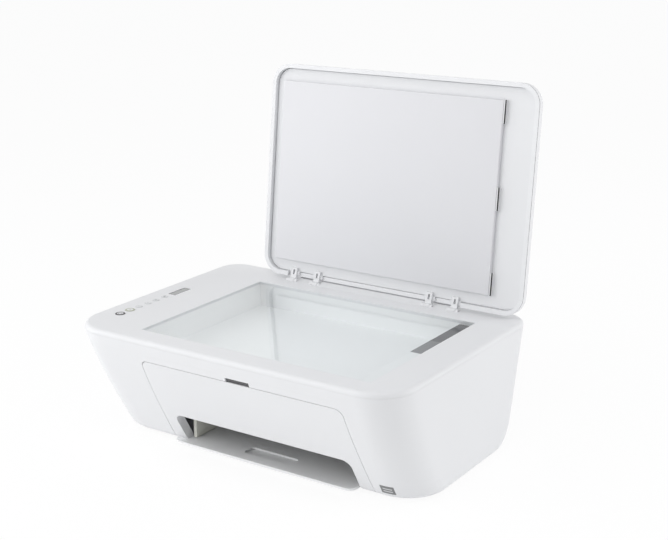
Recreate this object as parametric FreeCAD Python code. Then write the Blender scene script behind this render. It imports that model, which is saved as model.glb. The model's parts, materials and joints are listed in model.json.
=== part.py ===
import FreeCAD, Part
import os
from math import atan2, cos, degrees, hypot, pi, radians, sin, sqrt

V = FreeCAD.Vector
os.makedirs("parts", exist_ok=True)

# Inkjet printer with a flatbed scanner. Millimetres, X to the right, Y to the back, Z up.
# The lid is modelled open, as it stands at rest, and the front door is shut.

# Body
WIDTH = 425.0
HALF_W = WIDTH / 2
TOP_Z = 143.0
FRONT_Y = -150.0
REAR_Y = 148.0
FRONT_SETBACK = 68.0
FRONT_BOW = 1.2
REAR_SETBACK = 27.0
REAR_FOOT_R = 30.0
SIDE_TAPER = 4.0
FRONT_CORNER_R = 44.0
REAR_CORNER_R = 28.0
FOOT_EDGE_R = 8.0
TOP_EDGE_R = 5.0
WALL = 3.0
FOOT_H = 2.5
FRAME_T = 6.0
SEAM = 0.15
SKIN_GAP = 0.6
SEAT = 0.3
RUN_FIT = 0.05
PUSH_FIT = 0.02

# Scanner window and lid
GLASS_X0, GLASS_X1 = 85.1 - HALF_W, HALF_W - 42.7
GLASS_Y0, GLASS_Y1 = FRONT_Y + 26.6, REAR_Y - 54.4
GLASS_LAP = 5.0
GLASS_T = 3.0
BEZEL_LIP = 1.2
LID_X0, LID_X1 = 69.5 - HALF_W, HALF_W - 0.5
LID_REAR_Y = REAR_Y - 34.5
LID_FRONT_LAP = 5.9
LID_LENGTH = LID_REAR_Y - FRONT_Y - LID_FRONT_LAP
LID_T = 12.0
LID_LIFT = 0.4
LID_CORNER_R = 24.0
LID_RIM = 5.0
LID_RECESS = 5.4
LID_GROOVE = 0.9
LID_LEDGE = 4.0
LID_SKIN = 2.0
LID_OPEN_DEG = 96.7
HINGE_Y = LID_REAR_Y + 5.6
HINGE_DROP = 0.9
HINGE_XS = (LID_X0 + 62.0, LID_X1 - 102.0)
HINGE_ARM_OFFSET = 17.0
HINGE_ARM_W = 8.0
HINGE_PIN_R = 1.8
KNUCKLE_R = 3.6
CHEEK_W, CHEEK_R = 3.0, 3.2
BAR_TEE_W, BAR_TEE_L, BAR_TEE_T = 14.0, 5.0, 2.2
ARM_REACH = 10.5
ARM_SLOT_W, ARM_SLOT_END, ARM_SLOT_DEPTH = 2.6, 2.4, 2.2
RIDGE_FRONT, RIDGE_REAR, RIDGE_H = 1.0, 13.0, 2.5
PAD_MARGIN_REAR, PAD_MARGIN_FRONT, PAD_MARGIN_SIDE = 19.2, 20.0, 0.65
PAD_W = GLASS_X1 - GLASS_X0 - 2 * PAD_MARGIN_SIDE
PAD_L = LID_LENGTH - PAD_MARGIN_REAR - PAD_MARGIN_FRONT
PAD_T = 5.2
PAD_CLIP_L, PAD_CLIP_W, PAD_CLIP_T = 26.0, 2.0, 4.6

# Front door, output opening and tray
PAPER_X = 15.0
DOOR_X = PAPER_X + 2.0
DOOR_W, DOOR_TOP_Z, DOOR_LOW_Z = WIDTH - 160.0, 115.0, 4.0
DOOR_R = 9.0
DOOR_FLARE = 1.8
MOUTH_W, MOUTH_TOP_Z, MOUTH_R = DOOR_W - 31.0, 43.5, 10.0
MOUTH_RETURN, MOUTH_RETURN_T = 9.0, 2.0
DOOR_AXIS_Y, DOOR_AXIS_Z = -79.0, 14.0
DOOR_PIN_R = 2.0
DOOR_LUG_W, DOOR_LUG_R = 9.0, 4.5
NOTCH_X, NOTCH_W, NOTCH_H = PAPER_X + 4.5, 31.0, 5.4
NOTCH_DEPTH = 1.5
TRAY_Z0, TRAY_T = 4.6, 2.4
TRAY_FRONT_Y, TRAY_REAR_Y = -97.0, -10.0
TRAY_LIP_X0, TRAY_LIP_X1 = DOOR_X - MOUTH_W / 2 - 12.0, DOOR_X + MOUTH_W / 2 - 3.0
TRAY_LIP_DEPTH = 9.5
TRAY_LIP_R = 10.0
TRAY_SIDE_GAP = 2.0
GRIP_X, GRIP_W, GRIP_L, GRIP_Y = PAPER_X - 6.0, 64.0, 17.0, -73.5
EXTENDER_W, EXTENDER_T = 100.0, 2.2
EXTENDER_GAP = 0.4
EXTENDER_INSET = 4.0
LABEL_X, LABEL_Z, LABEL_W, LABEL_H, LABEL_T = HALF_W - 43.0, 14.5, 16.0, 11.0, 0.7

# Control panel
KEY_X = 27.1 - HALF_W
KEY_YS = tuple(FRONT_Y + step for step in (55.4, 71.8, 86.6, 102.2, 116.2, 131.7))
KEY_NAMES = ("power_button", "cancel_button", "wireless_button", "info_button",
             "copy_black_button", "copy_colour_button")
KEY_RS = (5.7, 5.7, 4.0, 4.0, 4.0, 4.0)
KEY_CLEARANCE = 0.35
KEY_PROUD = 0.5
KEY_FLANGE, KEY_FLANGE_T, KEY_STEM_R, KEY_GAP = 1.4, 1.0, 2.4, 1.0
LCD_X0, LCD_X1, LCD_Y0, LCD_Y1 = KEY_X - 3.9, KEY_X + 6.4, FRONT_Y + 143.0, FRONT_Y + 173.0
BOARD_T = 1.6
PANEL_BOARD_TOP = 129.6

# Base and feet
PAN_T = 2.0
PAN_FRONT_Y = -69.0
FOOT_R = 8.0
FOOT_XS, FOOT_YS = (52.5 - HALF_W, HALF_W - 37.5), (-45.0, 80.0)
SCREW_R, SCREW_HEAD_R, SCREW_HEAD_H = 1.5, 3.2, 2.0
SCREW_X, SCREW_YS = HALF_W - 21.0, (-20.0, 70.0)

# Print mechanism
PLATE_T = 2.0
PLATE_X0, PLATE_X1 = 25.5 - HALF_W, HALF_W - 14.5
PLATE_Y0, PLATE_TOP_Z = -32.0, 103.0
BEAM_Y, BEAM_Z0 = 74.0, 62.0
ROD_Y, ROD_Z, ROD_R = 44.0, 82.0, 4.0
FEED_Y, FEED_Z, FEED_R, FEED_SHAFT_R = 56.0, 38.0, 11.0, 4.0
PLATEN_W, PLATEN_Y0, PLATEN_Y1, PLATEN_Z, PLATEN_T = MOUTH_W - 14.0, -8.0, 43.5, 44.0, 4.0
FEED_ROLL_L, FEED_ROLL_PITCH = 36.0, (PLATEN_W - 10.0) / 3
EXIT_Z, EXIT_R, EXIT_SHAFT_R = 30.0, 7.0, 3.0
EXIT_ROLL_L, EXIT_ROLL_PITCH = 14.0, (PLATEN_W - 12.0) / 4
PINCH_R, PINCH_SHAFT_R, PINCH_L, PINCH_GAP, PINCH_LEAN = 6.0, 2.0, 20.0, 0.35, 20.0
MODULE = 1.0
FEED_TEETH, IDLER_TEETH, EXIT_TEETH, PINION_TEETH = 52, 36, 24, 14
GEAR_W, GEAR_SIDE = 6.0, 3.0
PINION_STEPS = 15
MOTOR_R, MOTOR_L, MOTOR_SHAFT_R = 12.0, 30.0, 1.5
CARRIAGE_X, CARRIAGE_W = PLATE_X1 - 68.0, 80.0
CARRIAGE_Y0, CARRIAGE_Y1, CARRIAGE_STEP_Y = -2.0, 65.0, 38.0
CARRIAGE_Z0, CARRIAGE_Z1, CARRIAGE_HIGH_Z = 52.0, 100.0, 68.0
BAY_W, BAY_WALL, BAY_Y1 = 34.0, 3.0, 34.0
CARTRIDGE_GAP, CARTRIDGE_TOP = 0.6, 92.0
NOZZLE_DROP, NOZZLE_W, NOZZLE_L = 2.0, 14.0, 20.0
LATCH_T, LATCH_R, LATCH_Y, LATCH_Z = 2.4, 2.0, 29.0, 96.0
PULLEY_X0, PULLEY_X1, PULLEY_Z, PULLEY_R = PLATE_X0 + 22.0, PLATE_X1 - 18.0, 93.0, 8.0
BELT_GAP, BELT_T, BELT_W, BELT_Y = 0.3, 1.2, 5.0, 66.5
PLATEN_LEG, PLATEN_RIBS, PLATEN_RIB_W, PLATEN_RIB_H = 4.0, 11, 2.0, 1.5
CHEEK_FRONT_Y, CHEEK_LIFT, CHEEK_REAR_H, CHEEK_TOP_H = -80.0, 0.6, 12.0, 24.0
STATION_Z, STATION_Y1, SEAL_H, SEAL_T = 46.0, 36.0, 2.6, 1.6
WIPER_T, WIPER_H = 1.5, 3.0

# Scanner mechanism
TUB_X0, TUB_X1, TUB_Z0, TUB_T = GLASS_X0 - 8.6, GLASS_X1 + 18.2, 107.0, 2.0
TUB_Y0, TUB_Y1 = GLASS_Y0 - 5.6, GLASS_Y1 + 10.4
SCAN_ROD_Y, SCAN_ROD_Z, SCAN_ROD_R = -90.0, 115.0, 3.0
BAR_X, BAR_W, BAR_Z0, BAR_Z1, BAR_COVER_T = GLASS_X1 - 8.8, 28.0, 119.0, 136.0, 0.7
BAR_SPLIT_Y, BAR_END_GAP = -11.0, 3.0
BAR_SHOE_L, BAR_SHOE_Z0 = 30.0, 111.0

# Rear: paper input, connectors
SLOT_W, SLOT_Y0, SLOT_Y1 = MOUTH_W - 10.0, REAR_Y - 16.0, REAR_Y - 8.0
FLAP_W, FLAP_L, FLAP_T, FLAP_GAP = SLOT_W, 92.0, 3.0, 1.0
FLAP_AXIS_Z, FLAP_KNUCKLE_R, FLAP_PIN_R, FLAP_PIN_L = 131.0, 2.2, 1.2, 12.0
EAR_W, EAR_GAP = 6.0, 0.5
COVER_X0, COVER_X1 = PAPER_X - SLOT_W / 2 - 43.0, PAPER_X + SLOT_W / 2 + 23.0
COVER_Z0, COVER_Z1 = 52.0, 126.0
CHUTE_Y0, CHUTE_Z0, CHUTE_T = 82.0, 50.0, 2.0
GUIDE_T, GUIDE_H, GUIDE_L, GUIDE_LIFT, GUIDE_X = 3.0, 5.0, 34.0, 0.4, PAPER_X + SLOT_W / 2 - 9.0
SUPPLY_X0, SUPPLY_X1 = 52.5 - HALF_W, 142.5 - HALF_W
SUPPLY_Y0, SUPPLY_Y1, SUPPLY_H = 78.0, 101.0, 34.0
INLET_X, INLET_Z, INLET_W, INLET_H, INLET_BORE_W = SUPPLY_X0 + 50.0, 31.0, 22.0, 14.0, 16.0
INLET_BORE_H, INLET_DEPTH, INLET_PIN_R, INLET_PIN_L = 9.0, 12.0, 1.2, 9.0
BOARD_X0, BOARD_X1, BOARD_Y, BOARD_Z1 = PAPER_X + 5.0, PAPER_X + 115.0, 99.0, 60.0
USB_X, USB_Z, USB_W, USB_H, USB_WALL, USB_DEPTH = BOARD_X0 + 60.0, 31.0, 12.0, 11.0, 0.8, 12.0
SOCKET_RECESS = 0.8

# Worked-out places
LID_Z = TOP_Z + LID_LIFT
HINGE_Z = TOP_Z - HINGE_DROP
SLOT_REACH = KNUCKLE_R + SEAT * 4
SEAM_Z = TOP_Z - FRAME_T
FRAME_Z0 = SEAM_Z
PAN_TOP = FOOT_H + PAN_T
MOUTH_X0, MOUTH_X1 = DOOR_X - MOUTH_W / 2, DOOR_X + MOUTH_W / 2
FAR = 400.0
BODY_STEPS = 9
BODY_LEVELS = [FOOT_EDGE_R * k for k in (0.45, 0.7, 1.0, 1.4)] + [REAR_FOOT_R * k for k in (0.55, 0.75)]
BODY_LEVELS += [REAR_FOOT_R + (SEAM_Z - REAR_FOOT_R) * k / BODY_STEPS for k in range(BODY_STEPS)]
PLATE_IN0, PLATE_IN1 = PLATE_X0 + PLATE_T, PLATE_X1 - PLATE_T
FEED_PITCH_R = MODULE * FEED_TEETH / 2
IDLER_PITCH_R = MODULE * IDLER_TEETH / 2
EXIT_PITCH_R = MODULE * EXIT_TEETH / 2
PINION_PITCH_R = MODULE * PINION_TEETH / 2
TRAIN = FEED_PITCH_R + 2 * IDLER_PITCH_R + EXIT_PITCH_R
EXIT_Y = FEED_Y - sqrt(TRAIN ** 2 - (FEED_Z - EXIT_Z) ** 2)
TRAIN_ANGLE = degrees(atan2(EXIT_Z - FEED_Z, EXIT_Y - FEED_Y))
IDLER_SHARE = (FEED_PITCH_R + IDLER_PITCH_R) / TRAIN
IDLER_Y = FEED_Y + (EXIT_Y - FEED_Y) * IDLER_SHARE
IDLER_Z = FEED_Z + (EXIT_Z - FEED_Z) * IDLER_SHARE
PINION_ANGLE = TRAIN_ANGLE - PINION_STEPS * 360.0 / FEED_TEETH
PINION_Y = FEED_Y + (FEED_PITCH_R + PINION_PITCH_R) * cos(radians(PINION_ANGLE))
PINION_Z = FEED_Z + (FEED_PITCH_R + PINION_PITCH_R) * sin(radians(PINION_ANGLE))
PINCH_SPAN = FEED_R + PINCH_R + PINCH_GAP
PINCH_Y = FEED_Y - PINCH_SPAN * sin(radians(PINCH_LEAN))
PINCH_Z = FEED_Z + PINCH_SPAN * cos(radians(PINCH_LEAN))
REAR_SLOPE = REAR_SETBACK / SEAM_Z
FLAP_LEAN = degrees(atan2(REAR_SETBACK, SEAM_Z))
FLAP_STAND = (FLAP_GAP + FLAP_T / 2) / cos(radians(FLAP_LEAN))
FLAP_AXIS_Y = REAR_Y - REAR_SLOPE * (SEAM_Z - FLAP_AXIS_Z) + FLAP_STAND
FLAP_X0, FLAP_X1 = PAPER_X - FLAP_W / 2, PAPER_X + FLAP_W / 2


def box(x0, x1, y0, y1, z0, z1):
    return Part.makeBox(x1 - x0, y1 - y0, z1 - z0, V(x0, y0, z0))


def rod_x(x0, x1, y, z, r):
    return Part.makeCylinder(r, x1 - x0, V(x0, y, z), V(1, 0, 0))


def rod_y(y0, y1, x, z, r):
    return Part.makeCylinder(r, y1 - y0, V(x, y0, z), V(0, 1, 0))


def rod_z(z0, z1, x, y, r):
    return Part.makeCylinder(r, z1 - z0, V(x, y, z0), V(0, 0, 1))


def merge(first, others):
    for other in others:
        first = first.fuse(other)
    return first.removeSplitter()


def carve(first, others):
    for other in others:
        first = first.cut(other)
    return first


def round_rect(x0, x1, y0, y1, z, r, rear_r=None):
    """Closed wire at height z: a rectangle with round corners, rear_r for the two at y1."""
    rr = r if rear_r is None else rear_r
    q, qr = r * (1 - sqrt(0.5)), rr * (1 - sqrt(0.5))
    lines = [(V(x0 + r, y0, z), V(x1 - r, y0, z)), (V(x1, y0 + r, z), V(x1, y1 - rr, z)),
             (V(x1 - rr, y1, z), V(x0 + rr, y1, z)), (V(x0, y1 - rr, z), V(x0, y0 + r, z))]
    bends = [V(x1 - q, y0 + q, z), V(x1 - qr, y1 - qr, z), V(x0 + qr, y1 - qr, z), V(x0 + q, y0 + q, z)]
    edges = []
    for i in range(4):
        edges.append(Part.LineSegment(*lines[i]).toShape())
        edges.append(Part.Arc(lines[i][1], bends[i], lines[(i + 1) % 4][0]).toShape())
    return Part.Wire(edges)


def round_block(x0, x1, y0, y1, z0, z1, r):
    return Part.Face(round_rect(x0, x1, y0, y1, z0, r)).extrude(V(0, 0, z1 - z0))


def upright_block(x0, x1, z0, z1, y0, y1, r):
    """Block with round corners in the XZ plane, running along Y."""
    block = round_block(x0, x1, -z1, -z0, 0, y1 - y0, r)
    block.rotate(V(0, 0, 0), V(1, 0, 0), -90)
    block.translate(V(0, y0, 0))
    return block


def prism_yz(points, x0, x1):
    wire = Part.makePolygon([V(x0, y, z) for y, z in points + points[:1]])
    return Part.Face(wire).extrude(V(x1 - x0, 0, 0))


def quarter_drop(radius, height):
    """How far a quarter round of this radius draws in at a height above its foot."""
    rest = max(0.0, radius - max(0.0, height))
    return radius - sqrt(max(0.0, radius ** 2 - rest ** 2))


def share_at(z):
    """1 at the table, 0 at the seam under the top frame and above it."""
    return max(0.0, 1 - z / SEAM_Z)


def front_at(z):
    return FRONT_Y + FRONT_SETBACK * share_at(z) ** FRONT_BOW


def rear_at(z):
    return REAR_Y - REAR_SETBACK * share_at(z)


def body_wire(z, inset):
    share = share_at(z)
    foot = quarter_drop(FOOT_EDGE_R, z - FOOT_H / 2)
    half = WIDTH / 2 - SIDE_TAPER * share - foot - inset
    front = front_at(z) + foot + inset
    rear = rear_at(z) - max(foot, quarter_drop(REAR_FOOT_R, z - FOOT_H / 2)) - inset
    return round_rect(-half, half, front, rear, z, FRONT_CORNER_R - inset, REAR_CORNER_R - inset)


def body_solid(inset, z0, z1):
    """The outer form of the body, drawn in by inset, between two heights."""
    heights = [z0] + [z for z in BODY_LEVELS if z0 + 0.8 < z < z1 - 0.8] + [z1]
    return Part.makeLoft([body_wire(z, inset) for z in heights], True, True)


def door_edge(side, z):
    """X of the door's left (-1) or right (1) edge at a height: the door widens towards its foot."""
    share = (DOOR_TOP_Z - z) / (DOOR_TOP_Z - DOOR_LOW_Z)
    return DOOR_X + side * (DOOR_W / 2 + DOOR_FLARE * (2 * share - 1))


def door_prism(grow):
    low, high = DOOR_LOW_Z - DOOR_R, DOOR_TOP_Z + grow
    corners = [V(door_edge(-1, low) - grow, -FAR, low), V(door_edge(1, low) + grow, -FAR, low),
               V(door_edge(1, high) + grow, -FAR, high), V(door_edge(-1, high) - grow, -FAR, high)]
    block = Part.Face(Part.makePolygon(corners + corners[:1])).extrude(V(0, FAR + PAN_FRONT_Y + WALL, 0))
    tops = [e for e in block.Edges if all(abs(v.Z - high) < 1e-6 for v in e.Vertexes)
            and abs(e.Vertexes[0].X - e.Vertexes[1].X) < 1e-6]
    return block.makeFillet(DOOR_R, tops)


def mouth_prism(grow=0.0):
    return upright_block(MOUTH_X0 - grow, MOUTH_X1 + grow, -MOUTH_R * 3, MOUTH_TOP_Z + grow,
                         -FAR, PAN_FRONT_Y + WALL, MOUTH_R + grow)


def notch_prism(shrink):
    x0, x1 = NOTCH_X - NOTCH_W / 2 + shrink, NOTCH_X + NOTCH_W / 2 - shrink
    return box(x0, x1, -FAR, 0, DOOR_TOP_Z + SKIN_GAP / 2, DOOR_TOP_Z + NOTCH_H - shrink)


def label_prism(shrink):
    half_w, half_h = LABEL_W / 2 - shrink, LABEL_H / 2 - shrink
    return box(LABEL_X - half_w, LABEL_X + half_w, -FAR, 0, LABEL_Z - half_h, LABEL_Z + half_h)


def cover_prism(grow):
    return upright_block(COVER_X0 - grow, COVER_X1 + grow, COVER_Z0 - grow, COVER_Z1 + grow,
                         SLOT_Y0 - REAR_SETBACK, FAR, DOOR_R)


def casing_walls():
    """The four walls of the lower casing as one open ring."""
    top = SEAM_Z - SEAM
    outer = body_solid(0, FOOT_H, top)
    inner = body_solid(WALL, FOOT_H - 0.5, top + 1)
    return outer.cut(inner)


def inlet_box(grow):
    return box(INLET_X - INLET_W / 2 - grow, INLET_X + INLET_W / 2 + grow, SUPPLY_Y1, FAR,
               INLET_Z - INLET_H / 2 - grow, INLET_Z + INLET_H / 2 + grow)


def usb_box(grow):
    return box(USB_X - USB_W / 2 - grow, USB_X + USB_W / 2 + grow, BOARD_Y, FAR,
               USB_Z - USB_H / 2 - grow, USB_Z + USB_H / 2 + grow)


def door_boss(x0, x1):
    low, high = DOOR_AXIS_Z - DOOR_LUG_R, DOOR_AXIS_Z + DOOR_LUG_R
    block = box(x0, x1, -FAR, DOOR_AXIS_Y + DOOR_LUG_R, low, high)
    return block.common(body_solid(WALL / 2, FOOT_H, SEAM_Z - SEAM))


def flap_ear(x0, x1):
    low, high = FLAP_AXIS_Z - FLAP_KNUCKLE_R, FLAP_AXIS_Z + FLAP_KNUCKLE_R
    root = FLAP_AXIS_Y - FLAP_STAND - WALL / 2
    ear = box(x0, x1, root, FLAP_AXIS_Y, low, high)
    return ear.fuse(rod_x(x0, x1, FLAP_AXIS_Y, FLAP_AXIS_Z, FLAP_KNUCKLE_R))


def door_pin_spans():
    """Left and right pin: (pin x0, x1), (casing boss x0, x1), (door lug x0, x1)."""
    spans = []
    for side in (-1, 1):
        outer = door_edge(side, DOOR_AXIS_Z - DOOR_LUG_R)
        inner = door_edge(side, DOOR_AXIS_Z + DOOR_LUG_R)
        boss = sorted((outer + side * (SKIN_GAP + SEAT), outer + side * (SKIN_GAP + SEAT + DOOR_LUG_W)))
        lug = sorted((inner - side * SEAT, inner - side * (SEAT + DOOR_LUG_W)))
        pin = (min(boss + lug), max(boss + lug))
        spans.append((pin, boss, lug))
    return spans


def flap_pin_spans():
    half = FLAP_PIN_L / 2
    return ((FLAP_X0 - half, FLAP_X0 + half), (FLAP_X1 - half, FLAP_X1 + half))


def main_casing(walls):
    shell = carve(walls, [door_prism(SKIN_GAP), notch_prism(0), cover_prism(SKIN_GAP), inlet_box(SEAT),
                          usb_box(SEAT)])
    rim = body_solid(0, FOOT_H, SEAM_Z - SEAM).cut(body_solid(LABEL_T, FOOT_H - 0.5, SEAM_Z))
    shell = shell.cut(rim.common(label_prism(0)))
    bosses = [door_boss(*boss) for pin, boss, lug in door_pin_spans()]
    ears = [flap_ear(FLAP_X0 - EAR_GAP - EAR_W, FLAP_X0 - EAR_GAP),
            flap_ear(FLAP_X1 + EAR_GAP, FLAP_X1 + EAR_GAP + EAR_W)]
    shell = merge(shell, bosses + ears)
    holes = [rod_x(pin[0], pin[1], DOOR_AXIS_Y, DOOR_AXIS_Z, DOOR_PIN_R + RUN_FIT)
             for pin, boss, lug in door_pin_spans()]
    holes += [rod_x(x0, x1, FLAP_AXIS_Y, FLAP_AXIS_Z, FLAP_PIN_R + RUN_FIT) for x0, x1 in flap_pin_spans()]
    return carve(shell, holes)


def rear_cover(walls):
    return walls.common(cover_prism(0))


def door_latch():
    body = body_solid(NOTCH_DEPTH, FOOT_H, SEAM_Z - SEAM)
    return body.cut(body_solid(WALL, FOOT_H - 0.5, SEAM_Z)).common(notch_prism(SEAT))


def rating_plate():
    skin = body_solid(0, FOOT_H, SEAM_Z - SEAM).cut(body_solid(LABEL_T, FOOT_H - 0.5, SEAM_Z))
    return skin.common(label_prism(SEAT / 2))


def access_door(walls):
    skin = walls.common(door_prism(0)).cut(mouth_prism())
    skin = skin.cut(box(-FAR, FAR, -FAR, FAR, 0, DOOR_LOW_Z))
    reach = body_solid(WALL / 2, FOOT_H, SEAM_Z - SEAM)
    inside = body_solid(WALL + MOUTH_RETURN, FOOT_H - 0.5, SEAM_Z)
    lugs = [mouth_prism(MOUTH_RETURN_T).cut(mouth_prism()).common(reach.cut(inside))
            .common(box(-FAR, FAR, -FAR, FAR, DOOR_LOW_Z, TOP_Z))]
    holes = []
    for pin, boss, lug in door_pin_spans():
        arm = box(lug[0], lug[1], -FAR, DOOR_AXIS_Y, DOOR_AXIS_Z - DOOR_LUG_R, DOOR_AXIS_Z + DOOR_LUG_R)
        knuckle = rod_x(lug[0], lug[1], DOOR_AXIS_Y, DOOR_AXIS_Z, DOOR_LUG_R)
        lugs.append(arm.fuse(knuckle).common(reach))
        holes.append(rod_x(lug[0] - 1, lug[1] + 1, DOOR_AXIS_Y, DOOR_AXIS_Z, DOOR_PIN_R + RUN_FIT))
    return carve(merge(skin, lugs), holes)


def arm_xs():
    return [x + side * HINGE_ARM_OFFSET for x in HINGE_XS for side in (-1, 1)]


def arm_pin_span(x):
    half = HINGE_ARM_W / 2 + SEAT + CHEEK_W
    return x - half, x + half


def hinge_cheeks(x):
    """Two low round cheeks, one on each side of a hinge arm, that hold its pin."""
    x0, x1 = arm_pin_span(x)
    cheeks = []
    for start in (x0, x1 - CHEEK_W):
        hump = rod_x(start, start + CHEEK_W, HINGE_Y, HINGE_Z, CHEEK_R)
        kept = box(-FAR, FAR, HINGE_Y - CHEEK_R, HINGE_Y + CHEEK_R, FRAME_Z0, TOP_Z + CHEEK_R)
        cheeks.append(hump.common(kept))
    return cheeks


def hinge_ridge():
    """Low ramp on the deck between the two hinges, just under the raised lid's rear edge."""
    xs = arm_xs()
    y0, y1 = LID_REAR_Y + RIDGE_FRONT, LID_REAR_Y + RIDGE_REAR
    return prism_yz([(y0, FRAME_Z0), (y0, TOP_Z), (y1, TOP_Z + RIDGE_H), (y1, FRAME_Z0)],
                    arm_pin_span(xs[1])[1], arm_pin_span(xs[2])[0])


def top_frame():
    plate = Part.makeLoft([body_wire(FRAME_Z0, 0), body_wire(TOP_Z, 0)], True, True)
    rim = [e for e in plate.Edges if all(abs(v.Z - TOP_Z) < 1e-6 for v in e.Vertexes)]
    plate = plate.makeFillet(TOP_EDGE_R, rim)
    window = box(GLASS_X0, GLASS_X1, GLASS_Y0, GLASS_Y1, FRAME_Z0 - 1, TOP_Z + 1)
    lap = GLASS_LAP + SEAT
    pocket = box(GLASS_X0 - lap, GLASS_X1 + lap, GLASS_Y0 - lap, GLASS_Y1 + lap,
                 FRAME_Z0 - 1, TOP_Z - BEZEL_LIP)
    cuts = [window, pocket]
    cuts.append(box(PAPER_X - SLOT_W / 2, PAPER_X + SLOT_W / 2, SLOT_Y0, SLOT_Y1, FRAME_Z0 - 1, TOP_Z + 1))
    cuts.append(box(LCD_X0 - SEAT, LCD_X1 + SEAT, LCD_Y0 - SEAT, LCD_Y1 + SEAT, FRAME_Z0 - 1, TOP_Z + 1))
    for y, r in zip(KEY_YS, KEY_RS):
        cuts.append(rod_z(FRAME_Z0 - 1, TOP_Z + 1, KEY_X, y, r + KEY_CLEARANCE))
    half = HINGE_ARM_W / 2 + SEAT
    for x in arm_xs():
        cuts.append(box(x - half, x + half, HINGE_Y - SLOT_REACH, HINGE_Y + SLOT_REACH,
                        FRAME_Z0 - 1, TOP_Z + 1))
    plate = carve(plate, cuts)
    posts = [rod_z(PANEL_BOARD_TOP, FRAME_Z0 + 1, KEY_X, y, KEY_STEM_R)
             for y in (KEY_YS[0] - KEY_RS[0] * 2.2, LCD_Y1 + KEY_STEM_R * 2)]
    cheeks = [cheek for x in arm_xs() for cheek in hinge_cheeks(x)]
    plate = merge(plate, cheeks + posts + [hinge_ridge()])
    bores = [rod_x(*arm_pin_span(x), HINGE_Y, HINGE_Z, HINGE_PIN_R + RUN_FIT) for x in arm_xs()]
    return carve(plate, bores)


def hinge_pins():
    """Steel pins of the lid, the front door and the rear input flap."""
    pins = [rod_x(*arm_pin_span(x), HINGE_Y, HINGE_Z, HINGE_PIN_R) for x in arm_xs()]
    pins += [rod_x(pin[0], pin[1], DOOR_AXIS_Y, DOOR_AXIS_Z, DOOR_PIN_R)
             for pin, boss, lug in door_pin_spans()]
    pins += [rod_x(x0, x1, FLAP_AXIS_Y, FLAP_AXIS_Z, FLAP_PIN_R) for x0, x1 in flap_pin_spans()]
    return Part.makeCompound(pins)


def scan_glass():
    top = TOP_Z - BEZEL_LIP
    return box(GLASS_X0 - GLASS_LAP, GLASS_X1 + GLASS_LAP, GLASS_Y0 - GLASS_LAP, GLASS_Y1 + GLASS_LAP,
               top - GLASS_T, top)


def lid_block(inset, z0, z1):
    return round_block(LID_X0 + inset, LID_X1 - inset, LID_REAR_Y - LID_LENGTH + inset, LID_REAR_Y - inset,
                       z0, z1, LID_CORNER_R - inset)


def notch_span():
    xs = arm_xs()
    return min(xs) - HINGE_ARM_W, max(xs) + HINGE_ARM_W


def lid_shell():
    top = LID_Z + LID_T
    shell = lid_block(0, LID_Z, top)
    crown = [e for e in shell.Edges if all(abs(v.Z - top) < 1e-6 for v in e.Vertexes)]
    shell = shell.makeFillet(TOP_EDGE_R * 0.8, crown)
    seat = LID_Z + LID_RECESS + LID_SKIN
    shell = shell.cut(lid_block(LID_RIM, LID_Z - 1, seat))
    shell = shell.cut(lid_block(LID_RIM + LID_LEDGE, seat - 1, top - LID_SKIN))
    x0, x1 = notch_span()
    return shell.cut(box(x0, x1, LID_REAR_Y - LID_RIM - 1, LID_REAR_Y + 1, LID_Z - 1, LID_Z + LID_RECESS))


def lid_inner_panel():
    face = LID_Z + LID_RECESS
    return lid_block(LID_RIM + LID_GROOVE, face, face + LID_SKIN)


def pad_box():
    centre = (GLASS_X0 + GLASS_X1) / 2
    rear = LID_REAR_Y - PAD_MARGIN_REAR
    return centre - PAD_W / 2, centre + PAD_W / 2, rear - PAD_L, rear


def backing_pad():
    x0, x1, y0, y1 = pad_box()
    face = LID_Z + LID_RECESS
    return box(x0, x1, y0, y1, face - PAD_T, face)


def pad_clips():
    x0, x1, y0, y1 = pad_box()
    face = LID_Z + LID_RECESS
    middle = (y0 + y1 - PAD_CLIP_L) / 2
    starts = (y0, middle, y1 - PAD_CLIP_L)
    x = x1 + SEAT
    return Part.makeCompound([box(x, x + PAD_CLIP_W, y, y + PAD_CLIP_L, face - PAD_CLIP_T, face)
                              for y in starts])


def lid_hinge_arms():
    """Four curved arms from the lid's inner panel to the hinge pins, with the lid shut."""
    face = LID_Z + LID_RECESS
    front = LID_REAR_Y - ARM_REACH
    slot = HINGE_Y - SLOT_REACH
    arms = []
    for x in arm_xs():
        x0, x1 = x - HINGE_ARM_W / 2, x + HINGE_ARM_W / 2
        web = prism_yz([(front, face), (front, LID_Z + LID_RECESS / 2), (slot + SEAT * 3, LID_Z + 0.1),
                        (HINGE_Y - KNUCKLE_R * 0.97, HINGE_Z),
                        (HINGE_Y + KNUCKLE_R * 0.3, HINGE_Z + KNUCKLE_R * 0.9), (LID_REAR_Y, face)], x0, x1)
        tee = box(x - BAR_TEE_W / 2, x + BAR_TEE_W / 2, LID_REAR_Y - BAR_TEE_L - 1, LID_REAR_Y - 1,
                  face - BAR_TEE_T, face)
        arm = merge(web, [rod_x(x0, x1, HINGE_Y, HINGE_Z, KNUCKLE_R), tee])
        groove = box(x - ARM_SLOT_W / 2, x + ARM_SLOT_W / 2, front + ARM_SLOT_END, LID_REAR_Y - ARM_SLOT_END,
                     LID_Z - 1, LID_Z + LID_RECESS / 2 + ARM_SLOT_DEPTH)
        bore = rod_x(x0 - 1, x1 + 1, HINGE_Y, HINGE_Z, HINGE_PIN_R + RUN_FIT)
        arms.append(carve(arm, [groove, bore]))
    return Part.makeCompound(arms)


def opened(shape):
    shape.rotate(V(0, HINGE_Y, HINGE_Z), V(1, 0, 0), -LID_OPEN_DEG)
    return shape


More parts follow.
